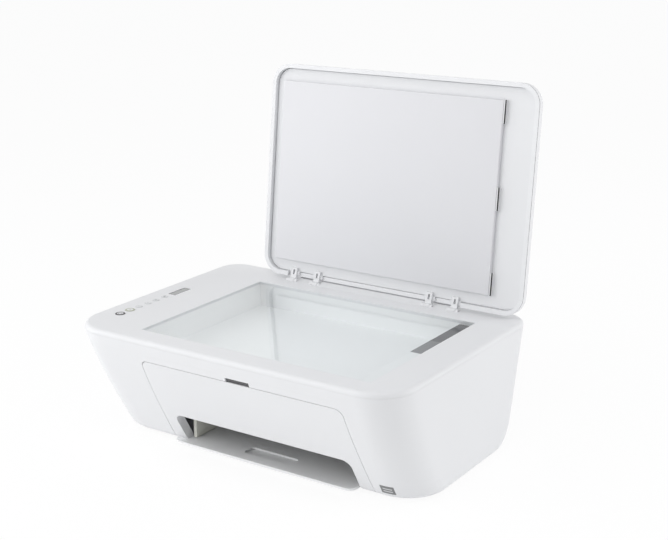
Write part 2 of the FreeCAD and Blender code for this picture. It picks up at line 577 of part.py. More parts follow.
def key_cap(y, r):
    top = TOP_Z + KEY_PROUD
    flange_top = FRAME_Z0 - SEAT
    cap = rod_z(flange_top - KEY_FLANGE_T, top, KEY_X, y, r)
    edge = [e for e in cap.Edges if all(abs(v.Z - top) < 1e-6 for v in e.Vertexes)]
    cap = cap.makeFillet(KEY_PROUD * 0.8, edge)
    flange = rod_z(flange_top - KEY_FLANGE_T, flange_top, KEY_X, y, r + KEY_FLANGE)
    stem = rod_z(PANEL_BOARD_TOP + KEY_GAP, flange_top, KEY_X, y, KEY_STEM_R)
    return merge(cap, [flange, stem])


def control_board():
    y0 = KEY_YS[0] - KEY_RS[0] * 3
    y1 = LCD_Y1 + KEY_STEM_R * 4
    return box(LCD_X0 - KEY_RS[0], LCD_X1 + KEY_RS[0], y0, y1, PANEL_BOARD_TOP - BOARD_T, PANEL_BOARD_TOP)


def lcd_display():
    return box(LCD_X0, LCD_X1, LCD_Y0, LCD_Y1, PANEL_BOARD_TOP, TOP_Z - SEAT)


def tray_side(side):
    return MOUTH_X0 + TRAY_SIDE_GAP if side < 0 else MOUTH_X1 - TRAY_SIDE_GAP


def output_tray():
    z0, z1 = TRAY_Z0, TRAY_Z0 + TRAY_T
    lip_y1 = TRAY_FRONT_Y + TRAY_LIP_R * 3
    lip = round_block(TRAY_LIP_X0, TRAY_LIP_X1, TRAY_FRONT_Y, lip_y1, z0, z1, TRAY_LIP_R)
    lip = lip.common(box(-FAR, FAR, TRAY_FRONT_Y, TRAY_FRONT_Y + TRAY_LIP_DEPTH, z0, z1))
    x0, x1 = tray_side(-1), min(tray_side(1), TRAY_LIP_X1)
    sheet = box(x0, x1, TRAY_FRONT_Y + TRAY_LIP_DEPTH - 1, TRAY_REAR_Y, z0, z1)
    tray = merge(lip, [sheet])
    grip = round_block(GRIP_X - GRIP_W / 2, GRIP_X + GRIP_W / 2, GRIP_Y - GRIP_L / 2, GRIP_Y + GRIP_L / 2,
                       z0 - 1, z1 + 1, GRIP_L / 4)
    return tray.cut(grip)


def tray_extender():
    z1 = TRAY_Z0 - EXTENDER_GAP
    x0, x1 = GRIP_X - EXTENDER_W / 2, GRIP_X + EXTENDER_W / 2
    return round_block(x0, x1, TRAY_FRONT_Y + EXTENDER_INSET, TRAY_REAR_Y - WALL,
                       z1 - EXTENDER_T, z1, TRAY_LIP_R)


def base_pan():
    floor = box(-FAR, FAR, PAN_FRONT_Y, FAR, FOOT_H, PAN_TOP)
    plate = body_solid(WALL + SKIN_GAP, FOOT_H, SEAM_Z).common(floor)
    bay = box(tray_side(-1) - TRAY_SIDE_GAP, tray_side(1) + TRAY_SIDE_GAP,
              -FAR, TRAY_REAR_Y + SEAT, 0, PAN_TOP + 1)
    plate = plate.cut(bay)
    holes = [rod_z(0, PAN_TOP + 1, side * SCREW_X, y, SCREW_R + RUN_FIT)
             for side in (-1, 1) for y in SCREW_YS]
    return carve(plate, holes)


def rubber_feet():
    return Part.makeCompound([Part.makeCone(FOOT_R - 1, FOOT_R, FOOT_H, V(x, y, 0))
                              for x in FOOT_XS for y in FOOT_YS])


def case_screws():
    screws = []
    for side in (-1, 1):
        for y in SCREW_YS:
            shank = rod_z(FOOT_H, PAN_TOP, side * SCREW_X, y, SCREW_R)
            head = rod_z(PAN_TOP, PAN_TOP + SCREW_HEAD_H, side * SCREW_X, y, SCREW_HEAD_R)
            screws.append(merge(shank, [head]))
    return Part.makeCompound(screws)


def print_chassis():
    """Folded steel frame: two side plates joined by a beam behind the carriage."""
    y1 = BEAM_Y + PLATE_T
    left = box(PLATE_X0, PLATE_IN0, PLATE_Y0, y1, PAN_TOP, PLATE_TOP_Z)
    right = box(PLATE_IN1, PLATE_X1, PLATE_Y0, y1, PAN_TOP, PLATE_TOP_Z)
    beam = box(PLATE_X0, PLATE_X1, BEAM_Y, y1, BEAM_Z0, PLATE_TOP_Z)
    stud = rod_y(BELT_Y - 1, BEAM_Y + 1, PULLEY_X0, PULLEY_Z, MOTOR_SHAFT_R)
    idler_stud = rod_x(PLATE_X0 - GEAR_SIDE - GEAR_W, PLATE_X0 + 1, IDLER_Y, IDLER_Z, MOTOR_SHAFT_R * 2)
    frame = merge(left, [right, beam, stud, idler_stud])
    runs = [(FEED_Y, FEED_Z, FEED_SHAFT_R), (EXIT_Y, EXIT_Z, EXIT_SHAFT_R), (ROD_Y, ROD_Z, ROD_R),
            (PINCH_Y, PINCH_Z, PINCH_SHAFT_R)]
    cuts = [rod_x(PLATE_X0 - 1, PLATE_X1 + 1, y, z, r + RUN_FIT) for y, z, r in runs]
    cuts.append(rod_x(PLATE_X0 - 1, PLATE_IN0 + 1, PINION_Y, PINION_Z, MOTOR_SHAFT_R * 2))
    cuts.append(rod_y(BEAM_Y - 1, y1 + 1, PULLEY_X1, PULLEY_Z, MOTOR_SHAFT_R * 2))
    return carve(frame, cuts)


def guide_rods():
    """Ground steel rods the print carriage and the scan bar run on."""
    return Part.makeCompound([rod_x(PLATE_X0, PLATE_X1, ROD_Y, ROD_Z, ROD_R),
                              rod_x(TUB_X0, TUB_X1, SCAN_ROD_Y, SCAN_ROD_Z, SCAN_ROD_R)])


def gear(teeth, y, z, x0, bore, phase_deg):
    """Spur gear on an X axis with straight-sided teeth, one tooth centred at phase_deg."""
    pitch_r = MODULE * teeth / 2
    root = pitch_r - 1.15 * MODULE
    tip = pitch_r + 0.8 * MODULE
    step = 2 * pi / teeth
    points = []
    for i in range(teeth):
        mid = radians(phase_deg) + i * step
        for r, share in ((root, -0.28), (tip, -0.11), (tip, 0.11), (root, 0.28)):
            a = mid + share * step
            points.append((y + r * cos(a), z + r * sin(a)))
    return prism_yz(points, x0, x0 + GEAR_W).cut(rod_x(x0 - 1, x0 + GEAR_W + 1, y, z, bore))


GEAR_X0 = PLATE_X0 - GEAR_SIDE - GEAR_W


def feed_gear():
    return gear(FEED_TEETH, FEED_Y, FEED_Z, GEAR_X0, FEED_SHAFT_R + PUSH_FIT, TRAIN_ANGLE)


def idler_gear():
    return gear(IDLER_TEETH, IDLER_Y, IDLER_Z, GEAR_X0, MOTOR_SHAFT_R * 2 + RUN_FIT,
                TRAIN_ANGLE + 180 + 180.0 / IDLER_TEETH)


def exit_gear():
    return gear(EXIT_TEETH, EXIT_Y, EXIT_Z, GEAR_X0, EXIT_SHAFT_R + PUSH_FIT, TRAIN_ANGLE + 180)


def motor_pinion():
    phase = PINION_ANGLE + 180 + 180.0 / PINION_TEETH
    pinion = gear(PINION_TEETH, PINION_Y, PINION_Z, GEAR_X0, MOTOR_SHAFT_R, phase)
    return merge(pinion, [rod_x(GEAR_X0, PLATE_IN0 + MOTOR_L / 3, PINION_Y, PINION_Z, MOTOR_SHAFT_R)])


def feed_motor():
    can = rod_x(PLATE_IN0, PLATE_IN0 + MOTOR_L, PINION_Y, PINION_Z, MOTOR_R)
    bore = rod_x(PLATE_IN0 - 1, PLATE_IN0 + MOTOR_L / 2, PINION_Y, PINION_Z, MOTOR_SHAFT_R + RUN_FIT)
    return can.cut(bore)


def shaft_between(y, z, r, gear_end):
    start = GEAR_X0 if gear_end else PLATE_X0
    return rod_x(start, PLATE_X1, y, z, r)


def rollers(y, z, r, bore, length, xs):
    hole = rod_x(min(xs) - length, max(xs) + length, y, z, bore)
    rolls = [rod_x(x - length / 2, x + length / 2, y, z, r).cut(hole) for x in xs]
    return Part.makeCompound(rolls)


def spread(count, pitch):
    return [PAPER_X + (i - (count - 1) / 2) * pitch for i in range(count)]


def pinch_rollers():
    rolls = [rod_x(x - PINCH_L / 2, x + PINCH_L / 2, PINCH_Y, PINCH_Z, PINCH_R)
             for x in spread(3, FEED_ROLL_PITCH)]
    return merge(rod_x(PLATE_X0, PLATE_X1, PINCH_Y, PINCH_Z, PINCH_SHAFT_R), rolls)


def bay_xs():
    centre = BAY_W / 2 + BAY_WALL / 2
    return CARRIAGE_X - centre, CARRIAGE_X + centre


def print_carriage():
    x0, x1 = CARRIAGE_X - CARRIAGE_W / 2, CARRIAGE_X + CARRIAGE_W / 2
    body = box(x0, x1, CARRIAGE_Y0, CARRIAGE_STEP_Y, CARRIAGE_Z0, CARRIAGE_Z1)
    body = merge(body, [box(x0, x1, CARRIAGE_STEP_Y - 1, CARRIAGE_Y1, CARRIAGE_HIGH_Z, CARRIAGE_Z1)])
    cuts = [rod_x(x0 - 1, x1 + 1, ROD_Y, ROD_Z, ROD_R + RUN_FIT)]
    for x in bay_xs():
        cuts.append(box(x - BAY_W / 2, x + BAY_W / 2, CARRIAGE_Y0 - 1, BAY_Y1,
                        CARRIAGE_Z0 + BAY_WALL, CARRIAGE_Z1 + 1))
        cuts.append(box(x - NOZZLE_W / 2 - SEAT, x + NOZZLE_W / 2 + SEAT, CARRIAGE_Y0 - 1,
                        CARRIAGE_Y0 + NOZZLE_L + SEAT, CARRIAGE_Z0 - 1, CARRIAGE_Z0 + BAY_WALL + 1))
    return carve(body, cuts)


def cartridge(x):
    half = BAY_W / 2 - CARTRIDGE_GAP
    z0 = CARRIAGE_Z0 + BAY_WALL
    tank = box(x - half, x + half, CARRIAGE_Y0, BAY_Y1 - CARTRIDGE_GAP, z0, CARTRIDGE_TOP)
    nozzle = box(x - NOZZLE_W / 2, x + NOZZLE_W / 2, CARRIAGE_Y0, CARRIAGE_Y0 + NOZZLE_L,
                 CARRIAGE_Z0 - NOZZLE_DROP, z0 + 1)
    return merge(tank, [nozzle])


def cartridge_latch(x):
    half = BAY_W / 2 - CARTRIDGE_GAP
    leaf = box(x - half, x + half, CARRIAGE_Y0, LATCH_Y, LATCH_Z - LATCH_T / 2, LATCH_Z + LATCH_T / 2)
    pin = rod_x(x - BAY_W / 2 + RUN_FIT, x + BAY_W / 2 - RUN_FIT, LATCH_Y, LATCH_Z, LATCH_R)
    return merge(leaf, [pin])


def carriage_pulley():
    wheel = rod_y(BELT_Y, BELT_Y + BELT_W, PULLEY_X1, PULLEY_Z, PULLEY_R)
    return merge(wheel, [rod_y(BELT_Y, BEAM_Y + PLATE_T + MOTOR_L / 3, PULLEY_X1, PULLEY_Z, MOTOR_SHAFT_R)])


def idler_pulley():
    wheel = rod_y(BELT_Y, BELT_Y + BELT_W, PULLEY_X0, PULLEY_Z, PULLEY_R)
    return wheel.cut(rod_y(BELT_Y - 1, BELT_Y + BELT_W + 1, PULLEY_X0, PULLEY_Z, MOTOR_SHAFT_R + RUN_FIT))


def belt_loop(r, y0, y1):
    ends = [rod_y(y0, y1, x, PULLEY_Z, r) for x in (PULLEY_X0, PULLEY_X1)]
    return merge(box(PULLEY_X0, PULLEY_X1, y0, y1, PULLEY_Z - r, PULLEY_Z + r), ends)


def timing_belt():
    inner = PULLEY_R + BELT_GAP
    outer = belt_loop(inner + BELT_T, BELT_Y, BELT_Y + BELT_W)
    return outer.cut(belt_loop(inner, BELT_Y - 1, BELT_Y + BELT_W + 1))


def carriage_motor():
    y0 = BEAM_Y + PLATE_T
    can = rod_y(y0, y0 + MOTOR_L, PULLEY_X1, PULLEY_Z, MOTOR_R)
    return can.cut(rod_y(y0 - 1, y0 + MOTOR_L / 2, PULLEY_X1, PULLEY_Z, MOTOR_SHAFT_R + RUN_FIT))


def platen():
    x0, x1 = PAPER_X - PLATEN_W / 2, CARRIAGE_X - CARRIAGE_W / 2 - 1
    plate = box(x0, x1, PLATEN_Y0, PLATEN_Y1, PLATEN_Z - PLATEN_T, PLATEN_Z)
    legs = [box(x, x + PLATEN_LEG, PLATEN_Y0, PLATEN_Y1, PAN_TOP, PLATEN_Z - PLATEN_T)
            for x in (x0, x1 - PLATEN_LEG)]
    low = TRAY_Z0 + TRAY_T + CHEEK_LIFT
    step, top = low + CHEEK_REAR_H, low + CHEEK_TOP_H
    cheek = prism_yz([(CHEEK_FRONT_Y, low), (PLATEN_Y0 + 1, low), (PLATEN_Y0 + 1, step),
                      (EXIT_Y - CHEEK_REAR_H, step), (EXIT_Y - 2 * CHEEK_REAR_H, top),
                      (CHEEK_FRONT_Y, top)], x0, x0 + PLATEN_LEG)
    pitch = (x1 - x0 - PLATEN_RIB_W) / (PLATEN_RIBS - 1)
    rib_xs = [x0 + i * pitch for i in range(PLATEN_RIBS)]
    ribs = [box(x, x + PLATEN_RIB_W, PLATEN_Y0, PLATEN_Y1, PLATEN_Z, PLATEN_Z + PLATEN_RIB_H)
            for x in rib_xs]
    return merge(plate, legs + ribs + [cheek])


def service_station():
    x0, x1 = CARRIAGE_X - CARRIAGE_W / 2, CARRIAGE_X + CARRIAGE_W / 2
    tank = box(x0, x1, CARRIAGE_Y0, STATION_Y1, PAN_TOP, STATION_Z)
    hollow = box(x0 + WALL, x1 - WALL, CARRIAGE_Y0 + WALL, STATION_Y1 - WALL,
                 PAN_TOP + WALL, STATION_Z - WALL)
    return tank.cut(hollow)


def station_seals():
    """Rubber caps for the nozzles and the wiper blade behind them."""
    seals = []
    for x in bay_xs():
        half = NOZZLE_W / 2 + SEAL_T
        y0, y1 = CARRIAGE_Y0 + SEAL_T, CARRIAGE_Y0 + NOZZLE_L
        ring = box(x - half, x + half, y0, y1, STATION_Z, STATION_Z + SEAL_H)
        seals.append(ring.cut(box(x - half + SEAL_T, x + half - SEAL_T, y0 + SEAL_T, y1 - SEAL_T,
                                  STATION_Z + SEAL_T, STATION_Z + SEAL_H + 1)))
    y = STATION_Y1 - WALL
    seals.append(box(CARRIAGE_X - NOZZLE_W, CARRIAGE_X + NOZZLE_W, y - WIPER_T, y,
                     STATION_Z, STATION_Z + WIPER_H))
    return Part.makeCompound(seals)


def scanner_tub():
    outer = box(TUB_X0, TUB_X1, TUB_Y0, TUB_Y1, TUB_Z0, FRAME_Z0)
    inner = box(TUB_X0 + TUB_T, TUB_X1 - TUB_T, TUB_Y0 + TUB_T, TUB_Y1 - TUB_T,
                TUB_Z0 + TUB_T, FRAME_Z0 + 1)
    tub = outer.cut(inner)
    return tub.cut(rod_x(TUB_X0 - 1, TUB_X1 + 1, SCAN_ROD_Y, SCAN_ROD_Z, SCAN_ROD_R + RUN_FIT))


def bar_ends():
    return TUB_Y0 + TUB_T + BAR_END_GAP, TUB_Y1 - TUB_T - BAR_END_GAP


def scan_bar():
    y0, y1 = bar_ends()
    x0, x1 = BAR_X - BAR_W / 2, BAR_X + BAR_W / 2
    bar = box(x0, x1, y0, y1, BAR_Z0, BAR_Z1)
    shoe = box(x0, x1, SCAN_ROD_Y - BAR_SHOE_L / 2, SCAN_ROD_Y + BAR_SHOE_L / 2, BAR_SHOE_Z0, BAR_Z0 + 1)
    return merge(bar, [shoe]).cut(rod_x(x0 - 1, x1 + 1, SCAN_ROD_Y, SCAN_ROD_Z, SCAN_ROD_R + RUN_FIT))


def scan_bar_cover():
    y0, y1 = bar_ends()
    return box(BAR_X - BAR_W / 2, BAR_X + BAR_W / 2, y0, BAR_SPLIT_Y, BAR_Z1, BAR_Z1 + BAR_COVER_T)


def input_tray():
    """Flap that hangs against the rear wall and swings up to hold the paper."""
    half = FLAP_T / 2
    plate = round_block(FLAP_X0, FLAP_X1, -FLAP_L, 0, -half, half, DOOR_R)
    plate = plate.fuse(box(FLAP_X0, FLAP_X1, -DOOR_R * 2, 0, -half, half))
    plate = merge(plate, [rod_x(FLAP_X0, FLAP_X1, 0, 0, FLAP_KNUCKLE_R)])
    for x0, x1 in flap_pin_spans():
        plate = plate.cut(rod_x(x0, x1, 0, 0, FLAP_PIN_R + RUN_FIT))
    plate.rotate(V(0, 0, 0), V(1, 0, 0), 90 - FLAP_LEAN)
    plate.translate(V(0, FLAP_AXIS_Y, FLAP_AXIS_Z))
    return plate


def chute_frame(shape):
    """Set a shape, drawn flat with its top end at the origin, along the sloping paper chute."""
    lean = degrees(atan2(FRAME_Z0 - CHUTE_Z0, SLOT_Y1 - CHUTE_Y0))
    shape.rotate(V(0, 0, 0), V(1, 0, 0), lean)
    shape.translate(V(0, SLOT_Y1, FRAME_Z0))
    return shape


def paper_chute():
    length = hypot(FRAME_Z0 - CHUTE_Z0, SLOT_Y1 - CHUTE_Y0)
    half = SLOT_W / 2
    sheet = chute_frame(box(PAPER_X - half, PAPER_X + half, -length, CHUTE_T, -CHUTE_T, 0))
    return sheet.common(box(-FAR, FAR, -FAR, FAR, 0, FRAME_Z0))


def paper_width_guide():
    start = -GUIDE_L - GUIDE_H
    plate = box(GUIDE_X, GUIDE_X + GUIDE_T, start, start + GUIDE_L, GUIDE_LIFT, GUIDE_LIFT + GUIDE_H)
    return chute_frame(plate)


def power_supply():
    return box(SUPPLY_X0, SUPPLY_X1, SUPPLY_Y0, SUPPLY_Y1, PAN_TOP, PAN_TOP + SUPPLY_H)


def power_inlet():
    """Two-pin inlet: a block with a long round mouth and two pins."""
    face = rear_at(INLET_Z) - SOCKET_RECESS
    block = inlet_box(0).common(box(-FAR, FAR, SUPPLY_Y1, face, 0, TOP_Z))
    r = INLET_BORE_H / 2
    mouth = upright_block(INLET_X - INLET_BORE_W / 2, INLET_X + INLET_BORE_W / 2, INLET_Z - r, INLET_Z + r,
                          face - INLET_DEPTH, FAR, r * 0.98)
    root = face - INLET_DEPTH
    pins = [rod_y(root - 1, root + INLET_PIN_L, INLET_X + side * r, INLET_Z, INLET_PIN_R)
            for side in (-1, 1)]
    return merge(block.cut(mouth), pins)


def main_board():
    return box(BOARD_X0, BOARD_X1, BOARD_Y - BOARD_T, BOARD_Y, PAN_TOP, BOARD_Z1)


def usb_port():
    face = rear_at(USB_Z) - SOCKET_RECESS
    can = usb_box(0).common(box(-FAR, FAR, BOARD_Y, face, 0, TOP_Z))
    w, h = USB_W / 2 - USB_WALL, USB_H / 2 - USB_WALL
    mouth = box(USB_X - w, USB_X + w, face - USB_DEPTH, FAR, USB_Z - h, USB_Z + h)
    tongue = box(USB_X - w / 2, USB_X + w / 2, face - USB_DEPTH - 1, face - USB_DEPTH / 4,
                 USB_Z - h / 3, USB_Z + h / 3)
    return merge(can.cut(mouth), [tongue])


def build():
    walls = casing_walls()
    pieces = {
        "main_casing": main_casing(walls), "rear_cover": rear_cover(walls), "top_frame": top_frame(),
        "base_pan": base_pan(), "rubber_feet": rubber_feet(), "case_screws": case_screws(),
        "rating_plate": rating_plate(), "door_latch": door_latch(), "hinge_pins": hinge_pins(),
        "access_door": access_door(walls), "output_tray": output_tray(), "tray_extender": tray_extender(),
        "scan_glass": scan_glass(), "scanner_tub": scanner_tub(), "guide_rods": guide_rods(),
        "scan_bar": scan_bar(), "scan_bar_cover": scan_bar_cover(),
        "lid_shell": opened(lid_shell()),
        "lid_inner_panel": opened(lid_inner_panel()), "backing_pad": opened(backing_pad()),
        "pad_clips": opened(pad_clips()), "lid_hinge_arms": opened(lid_hinge_arms()),
        "control_board": control_board(), "lcd_display": lcd_display(),
        "print_chassis": print_chassis(),
        "feed_shaft": shaft_between(FEED_Y, FEED_Z, FEED_SHAFT_R, True),
        "feed_rollers": rollers(FEED_Y, FEED_Z, FEED_R, FEED_SHAFT_R + PUSH_FIT, FEED_ROLL_L,
                                spread(3, FEED_ROLL_PITCH)),
        "feed_gear": feed_gear(), "idler_gear": idler_gear(),
        "exit_shaft": shaft_between(EXIT_Y, EXIT_Z, EXIT_SHAFT_R, True),
        "exit_rollers": rollers(EXIT_Y, EXIT_Z, EXIT_R, EXIT_SHAFT_R + PUSH_FIT, EXIT_ROLL_L,
                                spread(4, EXIT_ROLL_PITCH)),
        "exit_gear": exit_gear(), "motor_pinion": motor_pinion(), "feed_motor": feed_motor(),
        "pinch_rollers": pinch_rollers(), "print_carriage": print_carriage(),
        "black_cartridge": cartridge(bay_xs()[0]), "colour_cartridge": cartridge(bay_xs()[1]),
        "black_latch": cartridge_latch(bay_xs()[0]), "colour_latch": cartridge_latch(bay_xs()[1]),
        "carriage_pulley": carriage_pulley(), "idler_pulley": idler_pulley(), "timing_belt": timing_belt(),
        "carriage_motor": carriage_motor(), "platen": platen(), "service_station": service_station(),
        "station_seals": station_seals(),
        "input_tray": input_tray(), "paper_chute": paper_chute(),
        "paper_width_guide": paper_width_guide(), "power_supply": power_supply(),
        "power_inlet": power_inlet(), "main_board": main_board(), "usb_port": usb_port(),
    }
    for name, y, r in zip(KEY_NAMES, KEY_YS, KEY_RS):
        pieces[name] = key_cap(y, r)
    return pieces


def main():
    pieces = build()
    boxes = [shape.optimalBoundingBox(True, False) for shape in pieces.values()]
    centre_y = (min(b.YMin for b in boxes) + max(b.YMax for b in boxes)) / 2
    for name, shape in pieces.items():
        shape.translate(V(0, -centre_y, 0))
        shape.exportStep("parts/" + name + ".step")
    print("pieces", len(pieces), "centre_y", round(centre_y, 4))
    return centre_y


if __name__ == "__main__":
    main()
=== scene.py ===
"""White inkjet printer with its scanner lid raised, on a plain white ground.

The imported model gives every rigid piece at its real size. Here the pieces get their finishes, the foam pad
on the inside of the lid is modelled, and the ground, the light, the background and the camera are set.
All lengths are in metres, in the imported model's frame.
"""
import json
from math import cos, radians, sin

import bpy
from mathutils import Matrix, Vector


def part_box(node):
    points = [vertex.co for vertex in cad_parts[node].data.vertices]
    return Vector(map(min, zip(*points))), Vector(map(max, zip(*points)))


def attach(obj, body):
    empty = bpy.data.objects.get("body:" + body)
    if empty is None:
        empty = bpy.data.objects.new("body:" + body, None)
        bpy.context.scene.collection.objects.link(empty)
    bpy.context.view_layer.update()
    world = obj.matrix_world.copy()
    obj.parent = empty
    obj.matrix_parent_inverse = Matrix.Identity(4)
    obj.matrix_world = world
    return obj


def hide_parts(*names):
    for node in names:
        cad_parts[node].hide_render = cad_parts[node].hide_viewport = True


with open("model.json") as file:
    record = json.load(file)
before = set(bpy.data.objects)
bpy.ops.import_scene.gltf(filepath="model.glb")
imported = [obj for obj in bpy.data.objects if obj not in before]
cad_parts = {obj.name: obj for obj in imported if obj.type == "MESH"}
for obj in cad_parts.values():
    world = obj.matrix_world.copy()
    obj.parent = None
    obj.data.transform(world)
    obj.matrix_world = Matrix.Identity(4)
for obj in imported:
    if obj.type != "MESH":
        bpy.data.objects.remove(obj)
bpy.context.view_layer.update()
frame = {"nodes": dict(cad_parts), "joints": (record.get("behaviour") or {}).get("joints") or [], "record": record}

bl_info = {
    "name": "Inkjet Printer",
    "version": (1, 0, 0),
    "blender": (4, 5, 0),
    "location": "View3D > Sidebar > Printer",
    "description": "Finishes, soft pad and stage of an inkjet printer",
    "category": "Object",
}


def joint(name):
    """The frame's entry for a joint."""
    for entry in frame["joints"]:
        if entry["name"] == name:
            return entry
    raise RuntimeError(f"The packed model has no joint named {name}")


# The lid turns about X at this point. It is packed raised, and the whole of its range shuts it.
LID_HINGE = Vector(joint("lid_hinge")["pos_m"])
LID_ANGLE = radians(joint("lid_hinge")["range_deg"][1])

# Material slot of each piece.
SLOTS = {entry["node"]: entry["material_slot"] for entry in frame["record"]["subparts"]}


class FinishSettings(bpy.types.PropertyGroup):
    """Colours of the plastics, metals and rubbers."""
    casing: bpy.props.FloatVectorProperty(
        name="Casing", description="White of the casing, the deck, the lid and the keys",
        default=(0.815, 0.82, 0.835), subtype="COLOR", min=0.0, max=1.0)
    panel: bpy.props.FloatVectorProperty(
        name="Lid panel", description="White of the lid's inner panel and its hinge arms",
        default=(0.79, 0.795, 0.81), subtype="COLOR", min=0.0, max=1.0)
    # Painted light: the trays' white is lighter than the casing's to make up for the shade they lie in under the
    # printer.
    tray: bpy.props.FloatVectorProperty(
        name="Trays", description="White of the paper trays and the width guide",
        default=(0.9, 0.905, 0.91), subtype="COLOR", min=0.0, max=1.0)
    # Partly painted light: pale like the real white tub, and made paler still to make up for the shade inside the
    # tub under the frame.
    inner: bpy.props.FloatVectorProperty(
        name="Inside", description="Pale plastic of the scanner tub and the paper chute",
        default=(0.94, 0.945, 0.95), subtype="COLOR", min=0.0, max=1.0)
    cream: bpy.props.FloatVectorProperty(
        name="Platen", description="Cream plastic of the platen and the service station",
        default=(0.84, 0.84, 0.76), subtype="COLOR", min=0.0, max=1.0)
    gear: bpy.props.FloatVectorProperty(
        name="Gears", description="Natural plastic of the gears and pulleys",
        default=(0.75, 0.73, 0.66), subtype="COLOR", min=0.0, max=1.0)
    trim: bpy.props.FloatVectorProperty(
        name="Dark trim", description="Dark grey of the door latch and the black cartridge",
        default=(0.1, 0.1, 0.105), subtype="COLOR", min=0.0, max=1.0)
    black: bpy.props.FloatVectorProperty(
        name="Black plastic", description="Black of the carriage, the pinch rollers and the power supply",
        default=(0.025, 0.025, 0.027), subtype="COLOR", min=0.0, max=1.0)
    rod: bpy.props.FloatVectorProperty(
        name="Steel", description="Bright steel of rods, shafts, pins and screws",
        default=(0.62, 0.62, 0.62), subtype="COLOR", min=0.0, max=1.0)
    sheet: bpy.props.FloatVectorProperty(
        name="Sheet steel", description="Plated sheet of the chassis, the motors and the port",
        default=(0.55, 0.56, 0.56), subtype="COLOR", min=0.0, max=1.0)
    foot: bpy.props.FloatVectorProperty(
        name="Feet", description="Rubber of the feet and the seals",
        default=(0.03, 0.03, 0.03), subtype="COLOR", min=0.0, max=1.0)
    roller: bpy.props.FloatVectorProperty(
        name="Rollers", description="Rubber of the feed and exit rollers",
        default=(0.16, 0.16, 0.165), subtype="COLOR", min=0.0, max=1.0)
    belt: bpy.props.FloatVectorProperty(
        name="Belt", description="Rubber of the timing belt",
        default=(0.025, 0.025, 0.025), subtype="COLOR", min=0.0, max=1.0)


class PadSettings(bpy.types.PropertyGroup):
    """Foam sheet on the inside of the lid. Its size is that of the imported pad."""
    edge: bpy.props.FloatProperty(
        name="Edge", description="Width of the rounded edge",
        default=0.0011, min=0.0, unit="LENGTH", precision=4)
    segments: bpy.props.IntProperty(
        name="Edge steps", description="Faces across the rounded edge", default=3, min=1)


class StageSettings(bpy.types.PropertyGroup):
    """Camera, light and ground of the picture."""
    eye: bpy.props.FloatVectorProperty(
        name="Camera", description="Place of the camera",
        default=(0.8176, -1.1514888, 0.6102), subtype="TRANSLATION", unit="LENGTH", precision=4)
    yaw: bpy.props.FloatProperty(
        name="Yaw", description="Turn of the view to the left of straight ahead",
        default=radians(34.02), subtype="ANGLE")
    pitch: bpy.props.FloatProperty(
        name="Pitch", description="Tilt of the view below the horizon",
        default=radians(16.25), subtype="ANGLE")
    roll: bpy.props.FloatProperty(
        name="Roll", description="Turn of the picture about the line of sight",
        default=radians(-0.42), subtype="ANGLE")
    lens: bpy.props.FloatProperty(
        name="Lens", description="Focal length of the camera", default=71.3, min=1.0, unit="CAMERA")
    key: bpy.props.FloatProperty(
        name="Key", description="Power of the lamp ahead on the left", default=10.2, min=0.0, unit="POWER")
    low: bpy.props.FloatProperty(
        name="Low", description="Power of the low lamp on the left", default=4.5, min=0.0, unit="POWER")
    fill: bpy.props.FloatProperty(
        name="Fill", description="Power of the lamp behind on the right", default=7.5, min=0.0, unit="POWER")
    top: bpy.props.FloatProperty(
        name="Top", description="Power of the lamp overhead", default=4.0, min=0.0, unit="POWER")
    sky: bpy.props.FloatProperty(
        name="Sky", description="Strength of the light from all round", default=0.84, min=0.0)
    zenith: bpy.props.FloatProperty(
        name="Overhead loss", description="Share of the sky's light that is lost overhead",
        default=0.4, subtype="FACTOR", min=0.0, max=1.0)
    gap_to: bpy.props.FloatVectorProperty(
        name="Gap", description="Direction of the darker gap in the sky, ahead on the right",
        default=(0.55, -0.83, 0.05), subtype="XYZ")
    gap_size: bpy.props.FloatProperty(
        name="Gap edge", description="Cosine of the angle from the gap's middle to its edge",
        default=0.8, subtype="FACTOR", min=0.0, max=1.0)
    gap_depth: bpy.props.FloatProperty(
        name="Gap depth", description="Share of the sky's light that is lost in the gap",
        default=0.5, subtype="FACTOR", min=0.0, max=1.0)
    bounce: bpy.props.FloatProperty(
        name="Bounce", description="Glow of the ground on the object", default=0.14, min=0.0)
    ground: bpy.props.FloatProperty(
        name="Ground", description="Side of the square ground", default=40.0, min=1.0, unit="LENGTH")


# A Mix node names its sockets alike for every type of data, so its colour sockets go by number.
MIX_FACTOR, MIX_LOW, MIX_HIGH, MIX_RESULT = 0, 6, 7, 2


